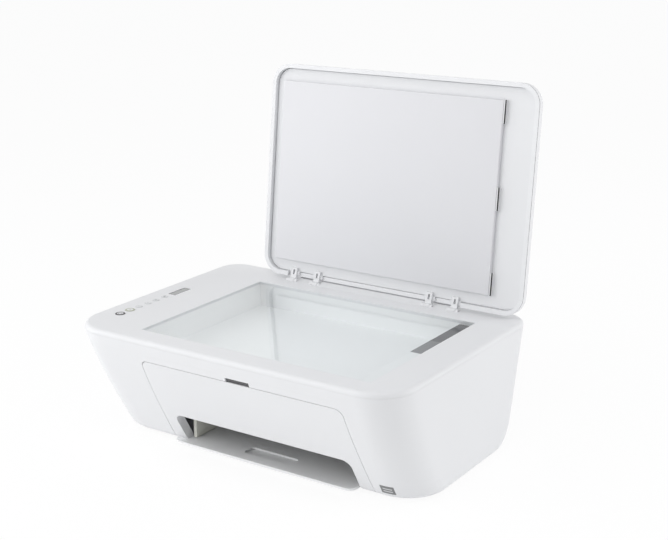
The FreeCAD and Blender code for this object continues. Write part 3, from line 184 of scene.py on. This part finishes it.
class Sock:
    """An output socket with arithmetic, so that a node tree reads as a formula."""

    def __init__(self, tree, out):
        self.tree = tree
        self.out = out

    @staticmethod
    def add(tree, kind, sockets=(), out=0, **settings):
        """One output of a new node: its settings come first, then its sockets' values or links."""
        made = tree.nodes.new(kind)
        for key, value in settings.items():
            setattr(made, key, value)
        for key, value in dict(sockets).items():
            put(made.inputs[key], value)
        return Sock(tree, made.outputs[out])

    def node(self, kind, sockets=(), out=0, **settings):
        """One output of a new node in the same tree."""
        return Sock.add(self.tree, kind, sockets, out, **settings)

    def math(self, operation, *others):
        """A Math node on this value and the others."""
        return self.node("ShaderNodeMath", dict(enumerate((self, *others))), operation=operation)

    def __add__(self, other):
        return self.math("ADD", other)

    def __sub__(self, other):
        return self.math("SUBTRACT", other)

    def __mul__(self, other):
        return self.math("MULTIPLY", other)

    def __rsub__(self, other):
        return self.node("ShaderNodeMath", {0: other, 1: self}, operation="SUBTRACT")

    __radd__ = __add__
    __rmul__ = __mul__

    def larger(self, other):
        """The larger of two values, which joins two masks."""
        return self.math("MAXIMUM", other)

    def above(self, edge, soft):
        """0 below the edge, 1 above it, with a soft step."""
        span = {"Value": self, "From Min": edge - soft, "From Max": edge + soft}
        return self.node("ShaderNodeMapRange", span, interpolation_type="SMOOTHSTEP")

    def below(self, edge, soft):
        """1 below the edge, 0 above it, with a soft step."""
        return 1 - self.above(edge, soft)

    def within(self, half, soft):
        """1 where the value is nearer to 0 than half, and 0 elsewhere."""
        return self.math("ABSOLUTE").below(half, soft)

    def beyond(self, half, soft):
        """1 where the value is further from 0 than half, and 0 elsewhere."""
        return self.math("ABSOLUTE").above(half, soft)

    def mix(self, low, high):
        """Colour low where this is 0 and colour high where it is 1."""
        sockets = {MIX_FACTOR: self, MIX_LOW: low, MIX_HIGH: high}
        return self.node("ShaderNodeMix", sockets, out=MIX_RESULT, data_type="RGBA")

    def axis(self, name):
        """The X, Y or Z part of a vector."""
        return self.node("ShaderNodeSeparateXYZ", {"Vector": self}, out=name)

    def noise(self, cells, detail=3.0):
        """Noise with this many cells to the metre."""
        return self.node("ShaderNodeTexNoise", {"Vector": self, "Scale": cells, "Detail": detail})

    def bump(self, strength, height):
        """A normal that this value lifts by up to height."""
        return self.node("ShaderNodeBump", {"Height": self, "Strength": strength, "Distance": height})


def put(socket, value):
    """Link a socket to an output, or set its value."""
    if isinstance(value, Sock):
        value.tree.links.new(value.out, socket)
    else:
        socket.default_value = value


def feed(shader, **values):
    """Set or link a shader's inputs by name, with underscores for spaces."""
    for key, value in values.items():
        put(shader.inputs[key.replace("_", " ")], value)


PURE_WHITE, BLACK = (1.0, 1.0, 1.0), (0.0, 0.0, 0.0)


def rgb(color):
    """A colour with its alpha."""
    return (*color, 1.0)


def fresh_material(name):
    """A material with nothing but its shader, that shader, and the object coordinates."""
    label = f"finish_{name}"
    mat = bpy.data.materials.get(label) or bpy.data.materials.new(label)
    mat.use_nodes = True
    tree = mat.node_tree
    shader, surface = tree.nodes["Principled BSDF"], tree.nodes["Material Output"]
    for spare in [node for node in tree.nodes if node not in (shader, surface)]:
        tree.nodes.remove(spare)
    tree.links.new(shader.outputs["BSDF"], surface.inputs["Surface"])
    return mat, shader, Sock.add(tree, "ShaderNodeTexCoord", out="Object")


def show(mat, look):
    """Put another shader than the plain one on a material's surface."""
    put(mat.node_tree.nodes["Material Output"].inputs["Surface"], look)


# Moulded plastic: a slow drift of tone, an uneven sheen and a fine grain. Scales are in cells to the metre.
TONE_CELLS, TONE_DETAIL, TONE_DRIFT = 9.0, 2.0, 0.015
SHEEN_CELLS, SHEEN_DETAIL, SHEEN_SPREAD = 60.0, 4.0, 0.1
GRAIN_CELLS, GRAIN_DETAIL, GRAIN_HEIGHT = 2600.0, 2.0, 0.0001


def mould_tone(place, color):
    """A colour that drifts a little over a moulding."""
    deep = [value * (1 - TONE_DRIFT) for value in color]
    return place.noise(TONE_CELLS, TONE_DETAIL).mix(rgb(deep), rgb(color))


def mould_sheen(place, rough):
    """A roughness that varies a little over a moulding."""
    return place.noise(SHEEN_CELLS, SHEEN_DETAIL) * SHEEN_SPREAD + (rough - SHEEN_SPREAD / 2)


def mould_grain(place, strength):
    """The fine grain of a mould."""
    return place.noise(GRAIN_CELLS, GRAIN_DETAIL).bump(strength, GRAIN_HEIGHT)


def plastic(name, color, rough, grain):
    """Moulded plastic."""
    mat, shader, place = fresh_material(name)
    feed(shader, Base_Color=mould_tone(place, color), Roughness=mould_sheen(place, rough))
    if grain:
        feed(shader, Normal=mould_grain(place, grain))
    return mat


# Streaks of drawn or rolled metal run along X.
STREAK_CELLS = (8.0, 900.0, 900.0)
STREAK_SPREAD = 0.16


def metal(name, color, rough):
    """Bright metal with streaks in its sheen."""
    mat, shader, place = fresh_material(name)
    streak = place.node("ShaderNodeMapping", {"Vector": place, "Scale": STREAK_CELLS}).noise(1.0)
    feed(shader, Base_Color=rgb(color), Metallic=1.0)
    feed(shader, Roughness=streak * STREAK_SPREAD + (rough - STREAK_SPREAD / 2))
    return mat


RUBBER_CELLS, RUBBER_SHADE, RUBBER_ROUGH = 240.0, 0.8, 0.78
RUBBER_GRAIN_CELLS, RUBBER_GRAIN, RUBBER_GRAIN_HEIGHT = 3000.0, 0.15, 0.0002


def rubber(name, color):
    """Matt rubber, a little cloudy."""
    mat, shader, place = fresh_material(name)
    shade = [value * RUBBER_SHADE for value in color]
    feed(shader, Base_Color=place.noise(RUBBER_CELLS).mix(rgb(shade), rgb(color)), Roughness=RUBBER_ROUGH)
    feed(shader, Normal=place.noise(RUBBER_GRAIN_CELLS).bump(RUBBER_GRAIN, RUBBER_GRAIN_HEIGHT))
    return mat


# Each plastic's colour setting, roughness and grain, by material slot.
PLASTICS = {
    "casing_white": ("casing", 0.52, 0.1),
    "frame_white": ("casing", 0.42, 0.06),
    "panel_white": ("panel", 0.5, 0.1),
    # painted light: the trays' white is lighter than the casing's, to make up for their shade under the printer
    "tray_white": ("tray", 0.5, 0.1),
    # partly painted light: the real tub is pale, and this white is paler still to make up for the shade inside it
    "inner_grey": ("inner", 0.55, 0.1),
    "cream_plastic": ("cream", 0.55, 0.1),
    "gear_white": ("gear", 0.4, 0.0),
    "dark_trim": ("trim", 0.55, 0.12),
    "black_plastic": ("black", 0.5, 0.1),
}
# Each metal's colour setting and roughness, and each rubber's colour setting.
METALS = {"steel": ("rod", 0.22), "sheet_steel": ("sheet", 0.36)}
RUBBERS = {"rubber": "foot", "roller_rubber": "roller", "belt_black": "belt"}


def slot_finish(slot, colors):
    """The finish of a material slot that several pieces share."""
    if slot in PLASTICS:
        color, rough, grain = PLASTICS[slot]
        return plastic(slot, getattr(colors, color), rough, grain)
    if slot in METALS:
        color, rough = METALS[slot]
        return metal(slot, getattr(colors, color), rough)
    if slot in RUBBERS:
        return rubber(slot, getattr(colors, RUBBERS[slot]))
    raise RuntimeError(f"No finish is known for the material slot {slot}")


def piece(node):
    """The frame's object for a piece."""
    if node not in frame["nodes"]:
        raise RuntimeError(f"The packed model has no piece named {node}")
    return frame["nodes"][node]


def smooth(obj, angle):
    """Select an object alone and smooth its faces up to an angle."""
    bpy.ops.object.select_all(action="DESELECT")
    obj.select_set(True)
    bpy.context.view_layer.objects.active = obj
    bpy.ops.object.shade_smooth_by_angle(angle=angle)


CAD_SMOOTH_ANGLE = radians(24)


def dress(node, mat):
    """Give a frame piece its finish and smooth its round faces."""
    obj = piece(node)
    obj.data.materials.clear()
    obj.data.materials.append(mat)
    smooth(obj, CAD_SMOOTH_ANGLE)


def dress_by_slot(context, nodes):
    """Give each piece the finish of its material slot."""
    colors = context.scene.printer_finish
    finishes = {slot: slot_finish(slot, colors) for slot in dict.fromkeys(SLOTS[node] for node in nodes)}
    for node in nodes:
        dress(node, finishes[SLOTS[node]])


LABEL_GREY, LABEL_PALE, LABEL_ROUGH = (0.2, 0.203, 0.207), (0.6, 0.6, 0.61), 0.5
# Heights of the label's bars and half their thickness and width, as shares of the label.
LABEL_BAR_HEIGHTS, LABEL_BAR_THICK, LABEL_BAR_WIDE = (0.3, 0.62), 0.07, 0.34
LABEL_BAR_SOFT, LABEL_END_SOFT = 0.00008, 0.0001


def printed_label(name, low, high):
    """Grey label with plain pale bars across it."""
    mat, shader, place = fresh_material(name)
    size, middle = high - low, (low + high) / 2
    x, z = place.axis("X"), place.axis("Z")
    thick = size.z * LABEL_BAR_THICK
    heights = [low.z + size.z * share for share in LABEL_BAR_HEIGHTS]
    lower, upper = [(z - height).within(thick, LABEL_BAR_SOFT) for height in heights]
    bars = lower.larger(upper) * (x - middle.x).within(size.x * LABEL_BAR_WIDE, LABEL_END_SOFT)
    feed(shader, Base_Color=bars.mix(rgb(LABEL_GREY), rgb(LABEL_PALE)), Roughness=LABEL_ROUGH)
    return mat


def shut_box(node):
    """Lowest and highest corner of a piece of the lid, as they are with the lid shut."""
    turn = Matrix.Rotation(LID_ANGLE, 4, "X")
    shut = Matrix.Translation(LID_HINGE) @ turn @ Matrix.Translation(-LID_HINGE)
    columns = list(zip(*[shut @ vertex.co for vertex in piece(node).data.vertices]))
    return Vector([min(column) for column in columns]), Vector([max(column) for column in columns])


def shut_place(place):
    """Y and Z of a point on the raised lid, as they are with the lid shut."""
    y, z = place.axis("Y") - LID_HINGE.y, place.axis("Z") - LID_HINGE.z
    along = y * cos(LID_ANGLE) - z * sin(LID_ANGLE) + LID_HINGE.y
    deep = y * sin(LID_ANGLE) + z * cos(LID_ANGLE) + LID_HINGE.z
    return along, deep


LID_ROUGH, LID_GRAIN, LID_CORNER_R = 0.4, 0.05, 0.024
# Painted shade: a thin grey band stands for the shade of the rim's step. It runs on the outer wall, between these
# heights over the rim's face.
STEP_SHADE_GREY, STEP_SHADE_LOW, STEP_SHADE_HIGH, STEP_SHADE_SOFT = (0.3, 0.305, 0.315), 0.0002, 0.0015, 0.0001
# The wall is what lies nearer to the outline than this.
WALL_DEPTH, WALL_SOFT = 0.0015, 0.0005


def lid_with_painted_shade(name, color):
    """Lid plastic with a thin grey band of painted shade round its outer wall, next to the rim, for the shade of
    the rim's step.
    """
    mat, shader, place = fresh_material(name)
    low, high = shut_box("lid_shell")
    middle, half = (low + high) / 2, (high - low) / 2
    along, deep = shut_place(place)
    past_x = (place.axis("X") - middle.x).math("ABSOLUTE") - (half.x - LID_CORNER_R)
    past_y = (along - middle.y).math("ABSOLUTE") - (half.y - LID_CORNER_R)
    corner_x, corner_y = past_x.larger(0.0), past_y.larger(0.0)
    round_corner = (corner_x * corner_x + corner_y * corner_y).math("SQRT")
    out = round_corner + past_x.larger(past_y).math("MINIMUM", 0.0)
    wall = out.above(LID_CORNER_R - WALL_DEPTH, WALL_SOFT)
    # painted shade: a grey band on the outer wall next to the rim, for the shade of the rim's step
    painted_step_shade = deep.above(low.z + STEP_SHADE_LOW, STEP_SHADE_SOFT) * deep.below(low.z + STEP_SHADE_HIGH, STEP_SHADE_SOFT) * wall
    feed(shader, Base_Color=painted_step_shade.mix(mould_tone(place, color), rgb(STEP_SHADE_GREY)))
    feed(shader, Roughness=mould_sheen(place, LID_ROUGH), Normal=mould_grain(place, LID_GRAIN))
    return mat


STRIP_BLACK, STRIP_ROUGH = (0.012, 0.012, 0.013), 0.5
# Size of the black line from the strip's front face and from its outer face.
STRIP_LINE_DEEP, STRIP_LINE_WIDE, STRIP_LINE_SOFT = 0.0019, 0.00085, 0.0001


def lined_strip(name, color):
    """Pad strip: pale like the panel, with a thin black line along its outer front edge."""
    mat, shader, place = fresh_material(name)
    low, high = shut_box("pad_clips")
    _, deep = shut_place(place)
    front = deep.below(low.z + STRIP_LINE_DEEP, STRIP_LINE_SOFT)
    line = front * place.axis("X").above(high.x - STRIP_LINE_WIDE, STRIP_LINE_SOFT)
    feed(shader, Base_Color=line.mix(rgb(color), rgb(STRIP_BLACK)), Roughness=STRIP_ROUGH)
    return mat


GLASS_TINT, GLASS_IOR = (0.98, 0.99, 0.99), 1.62
MIRROR_ROUGH, MIRROR_LEAST = 0.03, 0.04


def flat_glass(name):
    """Thin clear sheet: see-through, with a sharp mirror on its outer face."""
    mat, _, place = fresh_material(name)
    clear = place.node("ShaderNodeBsdfTransparent", {"Color": rgb(GLASS_TINT)})
    mirror = place.node("ShaderNodeBsdfGlossy", {"Color": rgb(PURE_WHITE), "Roughness": MIRROR_ROUGH})
    inside = place.node("ShaderNodeNewGeometry", out="Backfacing")
    edge = place.node("ShaderNodeFresnel", {"IOR": GLASS_IOR})
    seen = place.node("ShaderNodeLightPath", out="Is Camera Ray")
    share = (edge + MIRROR_LEAST) * (1 - inside) * seen
    show(mat, place.node("ShaderNodeMixShader", {0: share, 1: clear, 2: mirror}))
    return mat


SCAN_GREY, SCAN_BLACK, SCAN_ROUGH, SCAN_GRAIN = (0.12, 0.122, 0.126), (0.008, 0.008, 0.009), 0.45, 0.1
SCAN_SPLIT_Y, SCAN_SPLIT_SOFT = 0.027, 0.0004


def scan_bar_black(name):
    """Sensor bar: black over its rear part and dark grey ahead of it."""
    mat, shader, place = fresh_material(name)
    rear = place.axis("Y").above(SCAN_SPLIT_Y, SCAN_SPLIT_SOFT)
    feed(shader, Base_Color=rear.mix(rgb(SCAN_GREY), rgb(SCAN_BLACK)), Roughness=SCAN_ROUGH)
    feed(shader, Normal=mould_grain(place, SCAN_GRAIN))
    return mat


DISPLAY_DEEP, DISPLAY_PALE, DISPLAY_CELLS = (0.2, 0.215, 0.215), (0.24, 0.255, 0.25), 420.0
DISPLAY_ROUGH, DISPLAY_COAT = 0.12, 0.6
BORDER_DARK, BORDER_SIDE, BORDER_END, BORDER_SOFT = (0.09, 0.095, 0.1), 0.0012, 0.0014, 0.0002


def display(name, low, high):
    """Reflective display: grey-green cell under glass with a darker border."""
    mat, shader, place = fresh_material(name)
    middle, half = (low + high) / 2, (high - low) / 2
    side = (place.axis("X") - middle.x).beyond(half.x - BORDER_SIDE, BORDER_SOFT)
    end = (place.axis("Y") - middle.y).beyond(half.y - BORDER_END, BORDER_SOFT)
    cell = place.noise(DISPLAY_CELLS).mix(rgb(DISPLAY_DEEP), rgb(DISPLAY_PALE))
    feed(shader, Base_Color=side.larger(end).mix(cell, rgb(BORDER_DARK)))
    feed(shader, Roughness=DISPLAY_ROUGH, Coat_Weight=DISPLAY_COAT)
    return mat


# Sizes of the keys' printed signs, from the key's middle. A stroke's value is half its width.
INK_SOFT = 0.00008
POWER_ARC_R, POWER_ARC_STROKE, POWER_GAP = 0.0022, 0.00032, 0.0009
POWER_BAR_STROKE, POWER_BAR_LOW, POWER_BAR_HIGH = 0.00035, 0.0006, 0.003
CROSS_STROKE, CROSS_R = 0.0005, 0.0021
SHEET_HALF_W, SHEET_HALF_L = 0.0014, 0.0019
DOT_R = 0.0012


def power_sign(x, y, r):
    """Open ring with a bar in its gap."""
    arc = (r - POWER_ARC_R).within(POWER_ARC_STROKE, INK_SOFT)
    closed = x.beyond(POWER_GAP, INK_SOFT).larger(y.below(0.0, INK_SOFT))
    tall = y.above(POWER_BAR_LOW, INK_SOFT) * y.below(POWER_BAR_HIGH, INK_SOFT)
    return (arc * closed).larger(tall * x.within(POWER_BAR_STROKE, INK_SOFT))


def cross_sign(x, y, r):
    """Two strokes that cross."""
    strokes = (x - y).within(CROSS_STROKE, INK_SOFT).larger((x + y).within(CROSS_STROKE, INK_SOFT))
    return strokes * r.below(CROSS_R, INK_SOFT)


def sheet_sign(x, y, r):
    """Upright sheet of paper."""
    return x.within(SHEET_HALF_W, INK_SOFT) * y.within(SHEET_HALF_L, INK_SOFT)


def dot_sign(x, y, r):
    """Round dot."""
    return r.below(DOT_R, INK_SOFT)


LARGE_RING_R, SMALL_RING_R, RING_STROKE = 0.0047, 0.0033, 0.0011
# Each key's sign, the radius of its printed ring, and the colours of ring and sign.
KEYS = {
    "power_button": (power_sign, LARGE_RING_R, (0.07, 0.07, 0.073), (0.1, 0.1, 0.105)),
    "cancel_button": (cross_sign, LARGE_RING_R, (0.46, 0.48, 0.38), (0.42, 0.44, 0.36)),
    "wireless_button": (dot_sign, SMALL_RING_R, (0.7, 0.71, 0.72), (0.55, 0.57, 0.57)),
    "info_button": (dot_sign, SMALL_RING_R, (0.72, 0.73, 0.74), (0.58, 0.6, 0.6)),
    "copy_black_button": (sheet_sign, SMALL_RING_R, (0.72, 0.73, 0.74), (0.5, 0.52, 0.52)),
    "copy_colour_button": (sheet_sign, SMALL_RING_R, (0.72, 0.73, 0.74), (0.34, 0.35, 0.36)),
}
# Only what lies over the deck is printed.
KEY_FACE_Z, KEY_FACE_SOFT = 0.1430, 0.0001
KEY_ROUGH, KEY_GRAIN = 0.42, 0.05


def key_face(node, color):
    """Key with a printed ring and a small plain sign on its top."""
    mat, shader, place = fresh_material(node)
    draw_sign, ring_r, ring_color, sign_color = KEYS[node]
    low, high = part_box(node)
    middle = (low + high) / 2
    x, y = place.axis("X") - middle.x, place.axis("Y") - middle.y
    r = (x * x + y * y).math("SQRT")
    ring = (r - ring_r).within(RING_STROKE, INK_SOFT)
    printed = draw_sign(x, y, r).mix(ring.mix(rgb(color), rgb(ring_color)), rgb(sign_color))
    face = place.axis("Z").above(KEY_FACE_Z, KEY_FACE_SOFT)
    feed(shader, Base_Color=face.mix(rgb(color), printed), Roughness=KEY_ROUGH)
    feed(shader, Normal=place.noise(GRAIN_CELLS).bump(KEY_GRAIN, GRAIN_HEIGHT))
    return mat


BOARD_GREEN, BOARD_PATH, BOARD_PAD = (0.03, 0.17, 0.08), (0.05, 0.24, 0.12), (0.62, 0.6, 0.5)
BOARD_ROUGH = 0.35
PATH_CELLS, PATH_DETAIL, PATH_EDGE, PATH_SOFT = 160.0, 1.0, 0.56, 0.01
SOLDER_CELLS, SOLDER_R, SOLDER_SOFT = 220.0, 0.16, 0.02


def board(name):
    """Circuit board: green mask with pale pads and paths."""
    mat, shader, place = fresh_material(name)
    paths = place.noise(PATH_CELLS, PATH_DETAIL).above(PATH_EDGE, PATH_SOFT)
    spots = place.node("ShaderNodeTexVoronoi", {"Vector": place, "Scale": SOLDER_CELLS})
    mask = paths.mix(rgb(BOARD_GREEN), rgb(BOARD_PATH))
    solder = spots.below(SOLDER_R, SOLDER_SOFT)
    feed(shader, Base_Color=solder.mix(mask, rgb(BOARD_PAD)), Roughness=BOARD_ROUGH)
    return mat


FOAM_DEEP, FOAM_PALE, FOAM_CELLS, FOAM_DETAIL = (0.745, 0.745, 0.77), (0.765, 0.765, 0.788), 7.0, 2.0
FOAM_ROUGH, WEAVE_CELLS, WEAVE_DETAIL, WEAVE_STRENGTH, WEAVE_HEIGHT = 0.7, 1500.0, 2.0, 0.08, 0.0002


def foam(name):
    """White laminated foam: a soft even face with a faint weave."""
    mat, shader, place = fresh_material(name)
    feed(shader, Base_Color=place.noise(FOAM_CELLS, FOAM_DETAIL).mix(rgb(FOAM_DEEP), rgb(FOAM_PALE)))
    feed(shader, Roughness=FOAM_ROUGH)
    feed(shader, Normal=place.noise(WEAVE_CELLS, WEAVE_DETAIL).bump(WEAVE_STRENGTH, WEAVE_HEIGHT))
    return mat


class PRINTER_OT_casing(bpy.types.Operator):
    """Finish the casing, the deck, the door, and what is fixed on them"""
    bl_idname = "printer.casing"
    bl_label = "Casing"

    def execute(self, context):
        dress_by_slot(context, (
            "main_casing", "rear_cover", "base_pan", "access_door", "top_frame", "door_latch", "rubber_feet",
            "case_screws"))
        dress("rating_plate", printed_label("label_grey", *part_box("rating_plate")))
        return {"FINISHED"}


class PRINTER_OT_trays(bpy.types.Operator):
    """Finish the paper trays, the width guide and the chute"""
    bl_idname = "printer.trays"
    bl_label = "Paper Trays"

    def execute(self, context):
        dress_by_slot(context, (
            "output_tray", "tray_extender", "input_tray", "paper_width_guide", "paper_chute"))
        return {"FINISHED"}


class PRINTER_OT_lid(bpy.types.Operator):
    """Finish the scanner lid, its hinges and the strips along its pad"""
    bl_idname = "printer.lid"
    bl_label = "Lid"

    def execute(self, context):
        colors = context.scene.printer_finish
        dress_by_slot(context, ("lid_inner_panel", "lid_hinge_arms", "hinge_pins"))
        # the lid's plastic carries a band of painted shade next to its rim
        dress("lid_shell", lid_with_painted_shade("lid_white", colors.casing))
        dress("pad_clips", lined_strip("pad_strip", colors.panel))
        return {"FINISHED"}


class PRINTER_OT_scanner(bpy.types.Operator):
    """Finish the scanner's glass, tub and sensor bar"""
    bl_idname = "printer.scanner"
    bl_label = "Scanner"

    def execute(self, context):
        dress_by_slot(context, ("scanner_tub", "scan_bar_cover", "guide_rods"))
        dress("scan_glass", flat_glass("scan_glass"))
        dress("scan_bar", scan_bar_black("scan_black"))
        return {"FINISHED"}


class PRINTER_OT_controls(bpy.types.Operator):
    """Finish the display and print the keys"""
    bl_idname = "printer.controls"
    bl_label = "Controls"

    def execute(self, context):
        dress("lcd_display", display("lcd_grey", *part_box("lcd_display")))
        for node in KEYS:
            dress(node, key_face(node, context.scene.printer_finish.casing))
        return {"FINISHED"}


class PRINTER_OT_print_engine(bpy.types.Operator):
    """Finish the print carriage, what carries and drives it, the platen and the service station"""
    bl_idname = "printer.print_engine"
    bl_label = "Print Engine"

    def execute(self, context):
        dress_by_slot(context, (
            "print_chassis", "print_carriage", "black_cartridge", "colour_cartridge", "black_latch",
            "colour_latch", "timing_belt", "carriage_pulley", "idler_pulley", "carriage_motor", "platen",
            "service_station", "station_seals"))
        return {"FINISHED"}


class PRINTER_OT_paper_feed(bpy.types.Operator):
    """Finish the feed and exit rollers with their shafts, gears and motor"""
    bl_idname = "printer.paper_feed"
    bl_label = "Paper Feed"

    def execute(self, context):
        dress_by_slot(context, (
            "feed_motor", "motor_pinion", "feed_shaft", "feed_rollers", "feed_gear", "idler_gear",
            "exit_shaft", "exit_rollers", "exit_gear", "pinch_rollers"))
        return {"FINISHED"}


class PRINTER_OT_electrics(bpy.types.Operator):
    """Finish the boards, the power supply and the sockets"""
    bl_idname = "printer.electrics"
    bl_label = "Electrics"

    def execute(self, context):
        dress_by_slot(context, ("power_supply", "power_inlet", "usb_port"))
        green = board("board_green")
        for node in ("control_board", "main_board"):
            dress(node, green)
        return {"FINISHED"}


PAD_SMOOTH_ANGLE = radians(40)


class PRINTER_OT_pad(bpy.types.Operator):
    """Model the foam sheet on the inside of the lid"""
    bl_idname = "printer.pad"
    bl_label = "Foam Pad"

    def execute(self, context):
        settings = context.scene.printer_pad
        low, high = shut_box("backing_pad")
        bpy.ops.object.select_all(action="DESELECT")
        bpy.ops.mesh.primitive_cube_add(size=1.0, location=(low + high) / 2)
        pad = context.object
        pad.name = "foam_pad"
        bpy.ops.transform.resize(value=high - low)
        bpy.ops.object.transform_apply(location=True, rotation=True, scale=True)
        bevel = pad.modifiers.new("edge", "BEVEL")
        bevel.width = settings.edge
        bevel.segments = settings.segments
        bpy.ops.object.modifier_apply(modifier=bevel.name)
        bpy.ops.object.mode_set(mode="EDIT")
        bpy.ops.mesh.select_all(action="SELECT")
        bpy.ops.transform.rotate(value=LID_ANGLE, orient_axis="X", center_override=LID_HINGE)
        bpy.ops.object.mode_set(mode="OBJECT")
        context.scene.cursor.location = (0, 0, 0)
        bpy.ops.object.origin_set(type="ORIGIN_CURSOR")
        pad.data.materials.append(foam("pad_foam"))
        smooth(pad, PAD_SMOOTH_ANGLE)
        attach(pad, "lid")
        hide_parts("backing_pad")
        return {"FINISHED"}


def seen_directly(place):
    """1 for rays from the camera, from mirrors and through glass, and 0 for the rest."""
    rays = ("Is Camera Ray", "Is Glossy Ray", "Is Transmission Ray")
    camera, mirror, through = [place.node("ShaderNodeLightPath", out=ray) for ray in rays]
    return camera.larger(mirror).larger(through)


TABLE_WHITE, TABLE_ROUGH = (0.9, 0.9, 0.9), 0.9
# Share of plain white in the ground that is seen. The rest keeps the object's shadow.
GROUND_WHITE_SHARE = 0.9


def ground_material(bounce):
    """White where it is seen, and a softly glowing white table for everything else."""
    mat, shader, place = fresh_material("ground")
    feed(shader, Base_Color=rgb(TABLE_WHITE), Roughness=TABLE_ROUGH)
    feed(shader, Emission_Color=rgb(PURE_WHITE), Emission_Strength=bounce)
    table = Sock(place.tree, shader.outputs["BSDF"])
    white = place.node("ShaderNodeEmission", {"Color": rgb(PURE_WHITE), "Strength": 1.0})
    share = seen_directly(place) * GROUND_WHITE_SHARE
    show(mat, place.node("ShaderNodeMixShader", {0: share, 1: table, 2: white}))
    return mat


def lay_ground(settings):
    """The square of ground under the printer."""
    bpy.ops.object.select_all(action="DESELECT")
    bpy.ops.mesh.primitive_plane_add(size=settings.ground, location=(0, 0, 0))
    ground = bpy.context.object
    ground.name = "ground"
    ground.data.materials.append(ground_material(settings.bounce))
    return ground


BACKDROP_WHITE = (0.985, 0.985, 0.985)
SKY_TINT = (0.985, 0.992, 1.0)
# Height and softness of the step to the dimmer sky overhead, and softness of the gap's edge.
OVERHEAD_EDGE, OVERHEAD_SOFT, GAP_SOFT = 0.55, 0.45, 0.16


def light_sky(scene, settings):
    """White background where it is seen, and a sky with a darker gap and a dimmer top as light."""
    world = bpy.data.worlds.new("studio")
    scene.world = world
    world.use_nodes = True
    tree = world.node_tree
    towards = Sock.add(tree, "ShaderNodeTexCoord", out="Generated")
    facing = towards.node(
        "ShaderNodeVectorMath", {0: towards, 1: settings.gap_to}, out="Value", operation="DOT_PRODUCT")
    gap = facing.above(settings.gap_size, GAP_SOFT) * settings.gap_depth
    overhead = towards.axis("Z").above(OVERHEAD_EDGE, OVERHEAD_SOFT) * settings.zenith
    bright = [settings.sky * value for value in SKY_TINT]
    sky = (1 - gap - overhead).mix(rgb(BLACK), rgb(bright))
    put(tree.nodes["Background"].inputs["Color"], seen_directly(towards).mix(sky, rgb(BACKDROP_WHITE)))


# Each lamp's place and the side of its square. Its power is the setting of the same name.
LAMPS = {
    "key": ((-0.9, -1.5, 1.1), 1.2),
    "low": ((-1.5, -0.9, 0.4), 1.0),
    "fill": ((1.5, 0.9, 0.6), 1.2),
    "top": ((0.3, -0.6, 1.7), 0.7),
}
LAMP_TARGET = Vector((0, 0, 0.12))


def hang_lamps(settings):
    """Square soft lamps, all turned to the middle of the printer."""
    lamps = []
    for name, (place, size) in LAMPS.items():
        bpy.ops.object.light_add(type="AREA", location=place)
        lamp = bpy.context.object
        lamp.name = name
        lamp.data.size = size
        lamp.data.energy = getattr(settings, name)
        lamp.rotation_euler = (LAMP_TARGET - Vector(place)).to_track_quat("-Z", "Y").to_euler()
        lamps.append(lamp)
    return lamps


SENSOR_WIDTH_MM = 36.0
UPRIGHT = Vector((0, 0, 1))


def set_camera(scene, settings):
    """Camera at the eye, turned by yaw, pitch and roll."""
    yaw, pitch, roll = settings.yaw, settings.pitch, settings.roll
    ahead = Vector((-sin(yaw) * cos(pitch), cos(yaw) * cos(pitch), -sin(pitch)))
    level = ahead.cross(UPRIGHT).normalized()
    upward = level.cross(ahead)
    right = level * cos(roll) + upward * sin(roll)
    up = upward * cos(roll) - level * sin(roll)
    bpy.ops.object.camera_add()
    camera = bpy.context.object
    camera.data.lens = settings.lens
    camera.data.sensor_width = SENSOR_WIDTH_MM
    camera.data.sensor_fit = "HORIZONTAL"
    turn = Matrix((right, up, -ahead)).transposed().to_4x4()
    camera.matrix_world = Matrix.Translation(settings.eye) @ turn
    scene.camera = camera


class PRINTER_OT_stage(bpy.types.Operator):
    """Set the ground, the lights, the background and the camera"""
    bl_idname = "printer.stage"
    bl_label = "Stage"

    def execute(self, context):
        settings = context.scene.printer_stage
        ground = lay_ground(settings)
        light_sky(context.scene, settings)
        lamps = hang_lamps(settings)
        set_camera(context.scene, settings)
        context.scene.view_settings.view_transform = "Standard"
        return {"FINISHED"}


STEPS = (
    PRINTER_OT_casing, PRINTER_OT_trays, PRINTER_OT_lid, PRINTER_OT_scanner, PRINTER_OT_controls,
    PRINTER_OT_print_engine, PRINTER_OT_paper_feed, PRINTER_OT_electrics, PRINTER_OT_pad, PRINTER_OT_stage,
)
GROUPS = {"printer_finish": FinishSettings, "printer_pad": PadSettings, "printer_stage": StageSettings}


class PRINTER_PT_panel(bpy.types.Panel):
    """Sidebar with the printer's steps and their settings"""
    bl_label = "Printer"
    bl_idname = "PRINTER_PT_panel"
    bl_space_type = "VIEW_3D"
    bl_region_type = "UI"
    bl_category = "Printer"

    def draw(self, context):
        for step in STEPS:
            self.layout.operator(step.bl_idname)
        for group, settings in GROUPS.items():
            for name in settings.__annotations__:
                self.layout.prop(getattr(context.scene, group), name)


CLASSES = (*GROUPS.values(), *STEPS, PRINTER_PT_panel)


def register():
    """Register the classes and hang the settings on the scene."""
    for cls in CLASSES:
        bpy.utils.register_class(cls)
    for group, settings in GROUPS.items():
        setattr(bpy.types.Scene, group, bpy.props.PointerProperty(type=settings))


def unregister():
    """Take the settings off the scene and unregister the classes."""
    for group in GROUPS:
        delattr(bpy.types.Scene, group)
    for cls in reversed(CLASSES):
        bpy.utils.unregister_class(cls)


def main():
    """Register the add-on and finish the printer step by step."""
    register()
    bpy.ops.printer.casing()
    bpy.ops.printer.trays()
    bpy.ops.printer.lid()
    bpy.ops.printer.scanner()
    bpy.ops.printer.controls()
    bpy.ops.printer.print_engine()
    bpy.ops.printer.paper_feed()
    bpy.ops.printer.electrics()
    bpy.ops.printer.pad()
    bpy.ops.printer.stage()


if __name__ == "__main__":
    main()
